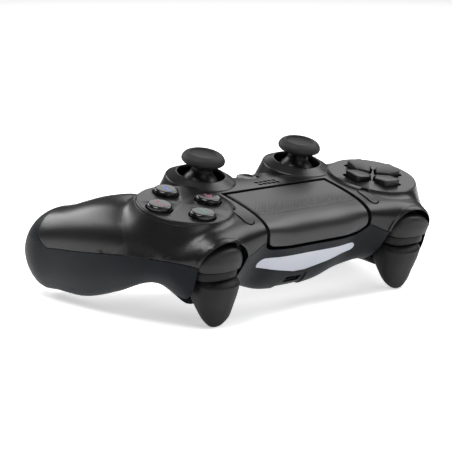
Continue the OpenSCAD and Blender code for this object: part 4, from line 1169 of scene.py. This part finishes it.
@dataclass(frozen=True)
class Skirt:
    """The hollow curve in which a plateau's wall runs out into the shell round it."""

    soft: float = 2.6
    sink: float = 0.06
    foot: float = -18.0
    foot_least: float = 4.0
    foot_deep: float = 6.0
    reach: float = 14.0
    rings: int = 20
    step: float = 0.6
    around: int = 120
    inner_share: float = 0.9
    inner_top: float = -0.6
    wall_top: float = -0.9
    wall_out: float = 0.35
    wall_slope: float = 2.72
    steep_below: float = 0.75
    steep_after: int = 9
    steep_drop: float = 0.4
    look_from: float = 40.0
    nowhere: float = -60.0

    def circle(self, radius: float) -> Outline:
        """Points round the middle of the right-hand plateau."""
        turn = [2 * math.pi * k / self.around for k in range(self.around)]
        return [(DECK.group_x + radius * math.cos(a), radius * math.sin(a)) for a in turn]

    def height(self, shell: BVHTree, x: float, y: float, wall: float, outer: int) -> float:
        """Height of the skirt: the higher of its own wall and the shell, blended where they are close.

        Args:
            shell: the upper surface of the plain body.
            x: place across the deck.
            y: place along the deck.
            wall: height of the skirt's own wall.
            outer: rings past the one from which a steep shell draws the skirt under it.

        Returns:
            The height.
        """
        hit, normal = shell.ray_cast(Vector((x, y, self.look_from)), Vector((0, 0, -1)))[:2]
        under = self.nowhere
        if hit:
            under = hit.z - max(0.0, self.steep_below - normal.z) * outer * self.steep_drop
        high, low = max(wall, under), min(wall, under)
        blend = high + self.soft * math.log1p(math.exp((low - high) / self.soft)) - self.sink
        return max(blend, self.foot - self.foot_least)

    def form(self) -> BMesh:
        """Builds the skirt of the right-hand plateau.

        Returns:
            The closed shape, which stays above the line between the shells.
        """
        body = BODY.form(BODY.end, arc=UPPER)
        shell = BVHTree.FromBMesh(body)
        body.free()
        r = DECK.plateau_r
        rings = [[Vector((x, y, self.inner_top)) for x, y in self.circle(r * self.inner_share)]]
        for number in range(1, self.rings + 1):
            radius = r + self.step * number
            wall = self.wall_top - (radius - r - self.wall_out) * self.wall_slope
            outer = max(0, number - self.steep_after)
            rings.append([Vector((x, y, self.height(shell, x, y, wall, outer))) for x, y in self.circle(radius)])
        rings.append([Vector((v.x, v.y, self.foot - self.foot_deep)) for v in rings[-1]])
        above_seam = BODY.form(BODY.end, -self.reach, UPPER, BODY.seam_gap / 2, 1)
        return Carving(loft(rings)).apply(Cut.KEEP, above_seam).shape()


@dataclass(frozen=True)
class Shells:
    """The two halves of the housing and what is let into them."""

    tongue_z: float = -19.0
    tongue_r: float = 10.8
    tongue_tall: float = 12.6
    tongue_steps: int = 20
    rim_wide: float = 1.0
    rim_proud: float = 0.5
    rim_stretch: tuple[int, int] = (2, 6)  # first and last section
    lens_top: float = -18.2
    lens_deep: float = -28.4
    lens_half: float = 26.0
    lens_gap: float = 0.12
    lens_corner: float = 1.4
    front_from: float = 6.0
    charge: Point = (7.6, 2.6, -33.6)  # width, height and z
    charge_reach: float = 34.0
    recess: tuple[float, float, float, float] = (5.6, 3.2, 7.0, 2.4)  # half width, above, below, widening
    recess_deep: float = 0.45
    socket_gap: float = 0.25
    socket_in: float = 4.0
    socket_out: float = 16.0
    jack: Point = (7.0, -14.1, 2.8)  # x, z and radius
    link: Point = (-8.0, 11.0, 4.0)  # x, width and height
    screws: tuple[Point, ...] = ((41.0, -18.0, -20.0), (64.0, -16.0, -27.0))
    screw_head_r: float = 2.6
    screw_head_high: float = 2.3
    crease: float = 42.0

    def build(self) -> None:
        """Builds the whole housing."""
        self.top()
        self.bottom()
        self.lens()
        self.touch_pad()

    def grip_end(self, grow: float) -> BMesh:
        """Everything behind the round tongue in which the top shell ends.

        Args:
            grow: allowance round the tongue.

        Returns:
            The closed shape.
        """
        y, z, r, far = TONGUE_Y, self.tongue_z, self.tongue_r + grow, BODY.width
        tall = self.tongue_tall + grow
        arc = [(y - r * math.cos(a), z - tall * math.sin(a)) for a in turns(90, self.tongue_steps)]
        outline = [(-2 * far, -far), (y, -far), *reversed(arc), (y - r, far), (-2 * far, far)]
        side_on = Matrix(((0, 0, 1, 0), (1, 0, 0, 0), (0, 1, 0, 0), (0, 0, 0, 1)))
        return placed(prism(outline, -far, far), side_on)

    def sockets(self) -> list[BMesh]:
        """Openings of the two sockets in the rear wall.

        Returns:
            A round one and a square one.
        """
        gap, inner, outer = self.socket_gap, self.socket_in - BODY.rear_edge, -BODY.rear_edge - self.socket_out
        jack_x, z, jack_r = self.jack
        back = Matrix.Translation((jack_x, inner, z)) @ Matrix.Rotation(math.radians(90), 4, "X")
        x, wide, tall = self.link
        return [placed(rod(jack_r + gap, 0, inner - outer), back),
                block((x - wide / 2 - gap, outer, z - tall / 2 - gap), (x + wide / 2 + gap, inner, z + tall / 2 + gap))]

    def plateau(self) -> BMesh:
        """The raised round under the buttons or the direction pad, with a softened top edge.

        Returns:
            The closed shape, round the z axis.
        """
        r = DECK.plateau_r
        return spun([(0, -14), (r + 5.1, -14), (r + 3.4, -9.4), (r + 1.7, -4.8), (r + 0.35, -0.9), (r + 0.24, -0.55),
                     (r + 0.1, -0.26), (r - 0.08, -0.08), (r - 0.3, 0), (r - 0.6, 0), (0, 0)], segments=120)

    def pod(self) -> BMesh:
        """The ring round a stick: a steep wall, and a top that slopes up to the mouth.

        Returns:
            The closed shape, round the z axis.
        """
        r, mouth = DECK.pod_r, DECK.mouth_r
        return spun([(0, -11.5), (r + 3.9, -11.5), (r + 2.6, -8.6), (r + 1.3, -4.8), (r + 0.45, -2), (r + 0.2, -1.2),
                     (r + 0.1, -0.9), (r, -0.6), (r - 0.12, -0.42), (r - 0.3, -0.3), (r - 0.6, -0.13), (r - 1, 0.07),
                     (mouth + 0.8, 1.42), (mouth + 0.5, 1.58), (mouth + 0.25, 1.66), (0, 1.66)],
                    segments=96)

    def mouth(self) -> tuple[BMesh, BMesh]:
        """What is taken out of a pod for its stick.

        Returns:
            The hollow under the ring and the mouth with its softened edge.
        """
        deep, r, pod = DECK.cut_depth, DECK.mouth_r, DECK.pod_r
        hollow = spun([(0, -deep), (pod - 0.3, -deep), (r + 2.3, -1.6), (r, 0.2), (0, 0.2)])
        opening = spun([(0, -deep), (r - 0.05, -deep), (r - 0.05, 1.2), (r + 0.1, 1.6), (r + 0.5, 2.2), (0, 2.2)])
        return hollow, opening

    def rim(self, side: Side) -> BMesh:
        """The raised rim over a shoulder's arch.

        Args:
            side: the half it is on.

        Returns:
            The closed shape, still filled within the arch.
        """
        first, last = self.rim_stretch
        carving = Carving(BODY.form(last, -self.rim_proud, UPPER, BODY.seam_gap / 2, first))
        carving.apply(Cut.KEEP, SHOULDER_SET.bay(Side.RIGHT, self.rim_wide))
        return sided(carving.shape(), side)

    def top(self) -> None:
        """Builds the top shell with its plateaus, stick rings, rims and openings."""
        d, deep = DECK, DECK.cut_depth
        carving = Carving(BODY.form(BODY.end, arc=UPPER, lift=BODY.seam_gap / 2))
        for side in Side:
            carving.apply(Cut.ADD, self.rim(side), at(side.value * d.group_x, 0, self.plateau()),
                          sided(Skirt().form(), side), at(*d.stick(side), self.pod()))
        carving.apply(Cut.TAKE, BODY.hollow())
        for side in Side:
            hollow, opening = self.mouth()
            carving.apply(Cut.TAKE, at(side.value * d.group_x, 0, rod(d.plateau_r - d.plateau_wall, -deep, -BODY.wall)),
                          at(*d.stick(side), hollow), at(*d.stick(side), opening), SHOULDER_SET.bay(side),
                          sided(at(*d.slim_at, prism(d.slim_outline(d.button_gap), -deep, deep)), side))
        hole = d.button_r + d.button_gap
        keyhole = [(0, -deep), (hole, -deep), (hole, -0.4), (hole + 0.12, -0.12), (hole + 0.4, 0.01),
                   (hole + 0.4, deep), (0, deep)]
        for turn in range(4):
            arm = placed(prism(d.pad_outline(d.pad_gap), -deep, deep), quarter(turn))
            carving.apply(Cut.TAKE, at(*d.spot(turn), spun(keyhole)), at(-d.group_x, 0, arm))
        carving.apply(Cut.TAKE, at(0, d.home_y, rod(d.home_r + d.button_gap, -deep, deep)))
        grille = [at(column * d.grille_pitch, d.speaker_y + row * d.grille_pitch * d.grille_stretch,
                     rod(d.grille_r, -deep, deep, segments=20)) for row in (-0.5, 0.5) for column in range(-2, 3)]
        carving.apply(Cut.TAKE, joined(grille), d.touch_prism(d.touch_gap), self.grip_end(0.0), *self.sockets())
        piece("top_housing", carving.shape(), SHELL_TOP.material, Ride("case", "case_top", ("top_shell",)), self.crease)

    def lens_prism(self, grow: float) -> BMesh:
        """The light bar's window, run along y, with softened corners.

        Args:
            grow: allowance all round.

        Returns:
            The closed shape.
        """
        half, top = self.lens_half + grow, self.lens_top + grow
        right = [(half - 2, top), (half, top - 2), (half - 0.6, top - 4.4), (3.0, self.lens_deep - grow)]
        outline = right + [(-x, z) for x, z in reversed(right)]
        window = facing_front(prism(outline, self.front_from, BODY.width))
        return softened(window, self.lens_corner, sharper=20, segments=5)

    def charge_cuts(self) -> tuple[BMesh, BMesh]:
        """What is taken out of the front wall for the charging inlet.

        Returns:
            The shallow recess that runs out at the underside, and the opening.
        """
        wide, tall, z = self.charge
        half, above, below, slant = self.recess
        ends = [(-half - slant, z - below), (half + slant, z - below), (half, z + above), (-half, z + above)]
        recess = Carving(facing_front(prism(ends, self.front_from, BODY.width)))
        recess.apply(Cut.TAKE, BODY.form(BODY.centre_last, self.recess_deep))
        x, high = wide / 2 + self.socket_gap, tall / 2 + self.socket_gap
        return recess.shape(), block((-x, self.front_from, z - high), (x, self.charge_reach, z + high))

    def bottom(self) -> None:
        """Builds the bottom shell, which wraps up over the grip ends."""
        gap = BODY.seam_gap
        carving = Carving(BODY.form(BODY.end, arc=LOWER, lift=-gap / 2))
        for side in Side:
            grip = Carving(BODY.form(BODY.end, first=BODY.grip_first))
            grip.apply(Cut.KEEP, self.grip_end(gap))
            carving.apply(Cut.ADD, sided(grip.shape(), side))
        carving.apply(Cut.TAKE, BODY.hollow(), DECK.touch_prism(DECK.touch_gap),
                      self.lens_prism(self.lens_gap), *self.sockets())
        for side in Side:
            carving.apply(Cut.TAKE, SHOULDER_SET.bay(side))
            for x, y, z in self.screws:
                well = rod(self.screw_head_r, -BODY.width, z - self.screw_head_high)
                carving.apply(Cut.TAKE, at(side.value * x, y, well))
        carving.apply(Cut.TAKE, *self.charge_cuts())
        piece("bottom_housing", carving.shape(), SHELL_BOTTOM.material,
              Ride("case", "case_bottom", ("bottom_shell",)), self.crease)

    def lens(self) -> None:
        """Builds the light bar's lens."""
        carving = Carving(BODY.form(BODY.centre_last))
        carving.apply(Cut.KEEP, self.lens_prism(0.0)).apply(Cut.TAKE, BODY.form(BODY.centre_last, BODY.wall))
        piece("light_bar", carving.shape(), LENS_PLASTIC.material, Ride("case", "lens", ("light_lens",)))

    def touch_pad(self) -> None:
        """Builds the folded touch pad, with a thin film that ends at the fold."""
        d = DECK
        film = Carving(BODY.form(BODY.centre_last, lift=d.film_proud))
        film.apply(Cut.KEEP, d.touch_prism(-d.film_edge), block((-d.touch_half, -d.touch_half, -BODY.wall - 2),
                                                                (d.touch_half, FOLD_Y, BODY.wall)))
        film.apply(Cut.TAKE, BODY.form(BODY.centre_last, BODY.wall / 2))
        carving = Carving(BODY.form(BODY.centre_last))
        carving.apply(Cut.KEEP, d.touch_prism(0.0)).apply(Cut.TAKE, BODY.form(BODY.centre_last, BODY.wall))
        carving.apply(Cut.ADD, film.shape())
        piece("touch_plate", carving.shape(), TOUCH_PLATE.material,
              Ride("touchpad", "touch_surface", ("touchpad",)))


# Keys


@dataclass(frozen=True)
class Mark:
    """A coloured numeral printed on a face button."""

    word: str
    text: str
    hex_colour: str


@dataclass(frozen=True)
class Keys:
    """Face buttons, direction pad, the two small buttons and the home button."""

    marks: tuple[Mark, ...] = (Mark("right", "2", "#8A4A55"), Mark("top", "1", "#3F8F78"),
                               Mark("left", "4", "#8F4F68"), Mark("bottom", "3", "#4F6BB0"))
    mark_size: float = 7.0
    mark_thick: float = 0.03
    mark_offset: float = -0.05
    mark_lift: float = 0.01
    plunger_r: float = 3.0
    plunger_foot: float = -4.8
    flange_r: float = 5.6
    flange_low: float = -3.3
    flange_top: float = -2.2
    pad_low: float = -4.0
    pad_edge: float = 0.55
    pad_edge_steps: int = 4
    pad_flat: float = 2.5
    pad_crease: float = 30.0
    rocker_in: float = 1.6
    rocker_low: float = -4.3
    rocker_top: float = -3.1
    slim_low: float = -7.0
    slim_high: float = 14.0
    home_plunger_r: float = 1.6
    home_foot: float = -12.2
    home_flange_low: float = -8.4
    home_flange_top: float = -7.4
    home_flange_out: float = 0.9
    round_steps: int = 64

    def build(self) -> None:
        """Builds every key."""
        for turn, mark in enumerate(self.marks):
            self.face_button(turn, mark)
        self.direction_pad()
        for side, word in ((Side.RIGHT, "menu"), (Side.LEFT, "share")):
            self.slim_button(side, word)
        self.home_button()

    def face_button(self, turn: int, mark: Mark) -> None:
        """Builds a round key with a softly domed top and its numeral.

        Args:
            turn: place of the key, counted from the player's right, anticlockwise.
            mark: its numeral.
        """
        r, top, spot = DECK.button_r, DECK.button_proud, DECK.spot(turn)
        profile = [(0, self.plunger_foot), (self.plunger_r, self.plunger_foot), (self.plunger_r, self.flange_low),
                   (self.flange_r, self.flange_low), (self.flange_r, self.flange_top), (r, self.flange_top),
                   (r, top - 0.95), (r - 0.08, top - 0.6), (r - 0.3, top - 0.28), (r - 0.62, top - 0.1),
                   (r - 1.1, top - 0.02), (r - 2.2, top), (0, top)]
        body = f"button_{mark.word}"
        piece(f"face_key_{mark.word}", at(*spot, spun(profile, self.round_steps)), KEY_GLOSS.material,
              Ride(body, "key", (body,)))
        # Pad-printed ink: a flat tint, duller than the key
        ink = Finish(f"pad_print_ink_{mark.word}", mark.hex_colour, mark.hex_colour, (0.35, 0.45), 0.4, 0.001)
        piece(f"face_mark_{mark.word}", self._numeral(mark.text, (*spot, top)), ink.material, Ride(body, "key"))

    def _numeral(self, text: str, place: Point) -> BMesh:
        """A numeral as a thin raised print, facing out of the deck.

        Args:
            text: the numeral.
            place: its middle, on the key's top.

        Returns:
            The shape.
        """
        curve = bpy.data.curves.new("numeral", "FONT")
        curve.body, curve.size, curve.extrude, curve.offset = text, self.mark_size, self.mark_thick, self.mark_offset
        curve.align_x, curve.align_y = "CENTER", "CENTER"
        obj = bpy.data.objects.new("numeral", curve)
        bpy.context.scene.collection.objects.link(obj)
        graph = bpy.context.evaluated_depsgraph_get()
        mesh = bpy.data.meshes.new_from_object(obj.evaluated_get(graph))
        bm = bmesh.new()
        bm.from_mesh(mesh)
        bpy.data.objects.remove(obj)
        bpy.data.curves.remove(curve)
        bpy.data.meshes.remove(mesh)
        x, y, z = place
        return placed(bm, Matrix.Translation((x, y, z + self.mark_lift)))

    def direction_pad(self) -> None:
        """Builds the four arms with dished tops and softened edges, on their rocker."""
        d = DECK
        normal = Vector((0, -d.pad_dish / (d.pad_reach - d.pad_tip - self.pad_flat), 1)).normalized()
        arms = []
        for turn in range(4):
            arm = prism(d.pad_outline(0.0), self.pad_low, d.pad_proud + 1)
            cut = bmesh.ops.bisect_plane(arm, geom=arm.verts[:] + arm.edges[:] + arm.faces[:],
                                         plane_co=(0, d.pad_tip, d.pad_proud - d.pad_dish), plane_no=normal,
                                         clear_outer=True)
            bmesh.ops.edgeloop_fill(arm, edges=[part for part in cut["geom_cut"] if isinstance(part, BMEdge)])
            bmesh.ops.recalc_face_normals(arm, faces=arm.faces)
            top_edges = [edge for edge in arm.edges if all(vert.co.z > 0 for vert in edge.verts)]
            rounded(arm, top_edges, self.pad_edge, self.pad_edge_steps)
            arms.append(placed(arm, quarter(turn)))
        arms.append(rod(d.pad_reach - self.rocker_in, self.rocker_low, self.rocker_top, self.round_steps))
        piece("direction_cross", at(-d.group_x, 0, joined(arms)), PAD_SATIN.material,
              Ride("d_pad", "key", ("d_pad",)), self.pad_crease)

    def slim_button(self, side: Side, word: str) -> None:
        """Builds a small oblong key whose top follows the deck.

        Args:
            side: the half it is on.
            word: its name.
        """
        d = DECK
        carving = Carving(BODY.form(BODY.centre_last, lift=d.slim_proud, first=2))
        carving.apply(Cut.KEEP, at(*d.slim_at, prism(d.slim_outline(0.0), self.slim_low, self.slim_high)))
        piece(f"slim_key_{word}", sided(carving.shape(), side), SHELL_TOP.material,
              Ride(f"{word}_button", "case_top", (f"{word}_button",)))

    def home_button(self) -> None:
        """Builds the round home key with its raised edge."""
        r, top, thin, foot = DECK.home_r, DECK.home_top, self.home_plunger_r, self.home_foot
        flange, low, high = r + self.home_flange_out, self.home_flange_low, self.home_flange_top
        profile = [(0, foot), (thin, foot), (thin, low), (flange, low), (flange, high), (r, high), (r, top - 0.5),
                   (r - 0.15, top - 0.15), (r - 0.5, top), (r - 1.2, top), (r - 1.6, top - 0.2), (0, top - 0.3)]
        piece("home_key", at(0, DECK.home_y, spun(profile, self.round_steps)), KEY_GLOSS.material,
              Ride("home_button", "key", ("home_button",)))


# Thumb sticks


@dataclass(frozen=True)
class ThumbStick:
    """A stick: a rubber cap with a sloping rim and a dished top, on a polished stem with a bell."""

    cap_r: float = 8.9
    rim: float = 10.4
    neck_r: float = 4.3
    bell_r: float = 7.7
    bell_low: float = -1.9
    round_steps: int = 96

    def cap(self) -> Outline:
        """Profile of the cap, from under its middle, round its rim, to its dished top.

        Returns:
            Radius and height pairs.
        """
        r, top, neck = self.cap_r, self.rim, self.neck_r
        return [(0, top - 5.2), (neck + 0.4, top - 5.1), (neck + 1, top - 4.85), (r - 1.4, top - 4.3),
                (r - 0.7, top - 3.95), (r - 0.2, top - 3.5), (r, top - 2.9), (r - 0.02, top - 2.5),
                (r - 0.2, top - 1.9), (r - 0.6, top - 1.25), (r - 1.2, top - 0.65), (r - 1.9, top - 0.25),
                (r - 2.5, top - 0.03), (r - 2.75, top), (r - 2.95, top - 0.06), (r - 3.15, top - 0.25),
                (r - 3.3, top - 0.6), (r - 3.45, top - 0.82), (r - 3.7, top - 0.92), (0, top - 1.1)]

    def stem(self) -> Outline:
        """Profile of the stem, from inside its bell, over the bell and up the neck.

        Returns:
            Radius and height pairs.
        """
        neck, bell, low, top = self.neck_r, self.bell_r, self.bell_low, self.rim - 5
        return [(0, 0.2), (neck, 0.2), (bell - 1.9, low + 1.2), (bell - 0.9, low), (bell, low),
                (bell - 0.35, low + 0.9), (bell - 0.9, low + 1.65), (bell - 1.6, low + 2.4), (bell - 2.3, low + 3),
                (neck + 0.2, low + 4.4), (neck - 0.12, low + 5.1), (neck - 0.2, low + 5.7), (neck - 0.2, top), (0, top)]

    def build(self, side: Side) -> None:
        """Builds and dresses one stick.

        Args:
            side: the half it is on.
        """
        place, body = DECK.stick(side), f"stick_{side.word}"
        piece(f"thumb_cap_{side.word}", at(*place, spun(self.cap(), self.round_steps)), CAP_RUBBER.material,
              Ride(body, "cap_rubber", (f"stick_cap_{side.word}",)))
        # The stem is near black: partly its own black plastic, partly a painted shade for the shadow the cap casts on
        # it
        piece(f"thumb_stem_{side.word}", at(*place, spun(self.stem(), self.round_steps)), INNER_BLACK.material,
              Ride(body, "cap_rubber"))


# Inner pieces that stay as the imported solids


class InnerWorks:
    """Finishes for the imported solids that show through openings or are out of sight."""

    finishes: ClassVar[dict[str, Finish]] = {
        "touch_board": BOARD, "main_board": BOARD, "charge_board": BOARD, "button_mat": DOME_RUBBER,
        "d_pad_mat": DOME_RUBBER, "mid_frame": INNER_GREY, "battery": CELL, "charge_socket": INLET,
        "headset_socket": INNER_BLACK, "link_socket": INNER_BLACK, "speaker": CONE, "case_screws": STEEL,
        "trigger_pins": STEEL, "trigger_springs": STEEL, "d_pad_link": STEEL,
    }
    paired: ClassVar[dict[str, Finish]] = {
        "stick_case": STEEL, "stick_yoke": INNER_BLACK, "stick_hub": INNER_GREY, "stick_lever": STEEL,
        "stick_arch": INNER_BLACK, "stick_sensors": SENSOR_PAINTED_SHADE, "rumble_motor": STEEL, "rumble_weight": SINTER,
    }

    def dress(self) -> None:
        """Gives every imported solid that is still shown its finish."""
        table = dict(self.finishes)
        for stem, finish in self.paired.items():
            for side in Side:
                table[f"{stem}_{side.word}"] = finish
        for name, obj in frame["nodes"].items():
            if obj.hide_render:
                continue
            obj.data.materials.clear()
            obj.data.materials.append(table[name].material)
            LOG.info("%s: %s", name, table[name].title)


# Studio


@dataclass(frozen=True)
class Lamp:
    """A soft box: where it stands in the row frame, in metres, its size and its power."""

    name: str
    place: Point
    size: tuple[float, float]
    power: float
    aim: Point = (0.0, 0.0, 0.03)


@dataclass(frozen=True)
class Studio:
    """Pale floor, soft boxes and the camera at the photograph's angle."""

    camera_at: Point = (431.44, 454.84, 233.97)
    right: Point = (-0.776945, 0.612835, 0.144187)
    up: Point = (-0.130139, -0.380413, 0.915615)
    back: Point = (0.615971, 0.692618, 0.375313)
    focal_px: float = 1662.37
    frame_px: float = 452.0
    sensor_mm: float = 36.0
    clip: tuple[float, float] = (0.01, 50.0)
    floor_half: float = 12.0
    floor_cuts: int = 8
    floor_tint: str = "#F4F4F4"
    floor_lift: float = 0.54
    sky: float = 0.08
    lamps: tuple[Lamp, ...] = (
        Lamp("key_box", (0.47, 0.12, 1.2), (0.55, 0.55), 13.0),
        Lamp("grip_box", (0.36, -1.05, 0.7), (1.0, 0.42), 9.0),
        Lamp("rear_box", (-0.9, -0.8, 0.85), (1.0, 0.7), 4.0),
        Lamp("far_side_box", (-0.87, 0.22, 0.93), (0.7, 0.8), 10.0),
        Lamp("front_box", (0.1, 1.5, 0.8), (1.0, 0.6), 5.5),
    )

    def build(self) -> None:
        """Sets the camera, the lamps, the floor and the sky."""
        self._camera()
        for lamp in self.lamps:
            self._lamp(lamp)
        self._floor()
        self._sky()
        bpy.context.scene.view_settings.view_transform = "Standard"

    def _camera(self) -> None:
        """Places the camera as the photograph was taken."""
        data = bpy.data.cameras.new("photo_camera")
        data.sensor_width = self.sensor_mm
        data.lens = self.sensor_mm * self.focal_px / self.frame_px
        data.clip_start, data.clip_end = self.clip
        camera = bpy.data.objects.new("photo_camera", data)
        axes = Matrix((self.right, self.up, self.back)).transposed()
        turned = (STANCE.turn() @ axes).to_4x4()
        camera.matrix_world = Matrix.Translation(STANCE.matrix() @ Vector(self.camera_at)) @ turned
        bpy.context.scene.collection.objects.link(camera)
        bpy.context.scene.camera = camera

    @staticmethod
    def _lamp(lamp: Lamp) -> None:
        """Places one soft box, aimed at the controller.

        Args:
            lamp: the soft box.
        """
        data = bpy.data.lights.new(lamp.name, "AREA")
        data.shape = "RECTANGLE"
        data.size, data.size_y = lamp.size
        data.energy = lamp.power
        obj = bpy.data.objects.new(lamp.name, data)
        place = Vector(lamp.place)
        toward = (Vector(lamp.aim) - place).to_track_quat("-Z", "Y")
        obj.matrix_world = Matrix.Translation(place) @ toward.to_matrix().to_4x4()
        bpy.context.scene.collection.objects.link(obj)

    def _floor(self) -> None:
        """Lays the pale floor, which shows white to the camera and keeps the shadow."""
        bm = bmesh.new()
        bmesh.ops.create_grid(bm, x_segments=self.floor_cuts, y_segments=self.floor_cuts, size=self.floor_half)
        mesh = bpy.data.meshes.new("floor")
        bm.to_mesh(mesh)
        bm.free()
        obj = bpy.data.objects.new("floor", mesh)
        bpy.context.scene.collection.objects.link(obj)
        paint = bpy.data.materials.new("paint_matt_white")
        paint.use_nodes = True
        tree = paint.node_tree
        tree.nodes.clear()
        path = add_node(tree, "ShaderNodeLightPath")
        seen = add_node(tree, "ShaderNodeMath", {"operation": "MAXIMUM"},
                        links={0: (path, "Is Camera Ray"), 1: (path, "Is Transmission Ray")})
        shown = add_node(tree, "ShaderNodeMath", {"operation": "MAXIMUM"},
                         links={0: (seen, "Value"), 1: (path, "Is Glossy Ray")})
        lift = add_node(tree, "ShaderNodeMath", {"operation": "MULTIPLY"}, {1: self.floor_lift},
                        {0: (shown, "Value")})
        shader = add_node(tree, "ShaderNodeBsdfDiffuse", values={"Color": linear(self.floor_tint)})
        glow = add_node(tree, "ShaderNodeEmission", links={"Strength": (lift, "Value")})
        both = add_node(tree, "ShaderNodeAddShader", links={0: (shader, "BSDF"), 1: (glow, "Emission")})
        add_node(tree, "ShaderNodeOutputMaterial", links={"Surface": (both, "Shader")})
        mesh.materials.append(paint)

    def _sky(self) -> None:
        """Sets a plain even sky."""
        world = bpy.data.worlds.new("studio")
        world.use_nodes = True
        tree = world.node_tree
        tree.nodes.clear()
        light = add_node(tree, "ShaderNodeBackground", values={
            "Color": (1.0, 1.0, 1.0, 1.0), "Strength": self.sky})
        add_node(tree, "ShaderNodeOutputWorld", links={"Surface": (light, "Background")})
        bpy.context.scene.world = world


def main() -> None:
    """Builds the controller and the studio in order."""
    logging.basicConfig(level=logging.INFO, format="%(name)s %(message)s")
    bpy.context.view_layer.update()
    Shells().build()
    Keys().build()
    for side in Side:
        SHOULDER_SET.build(side)
        ThumbStick().build(side)
    InnerWorks().dress()
    Studio().build()


if __name__ == "__main__":
    main()
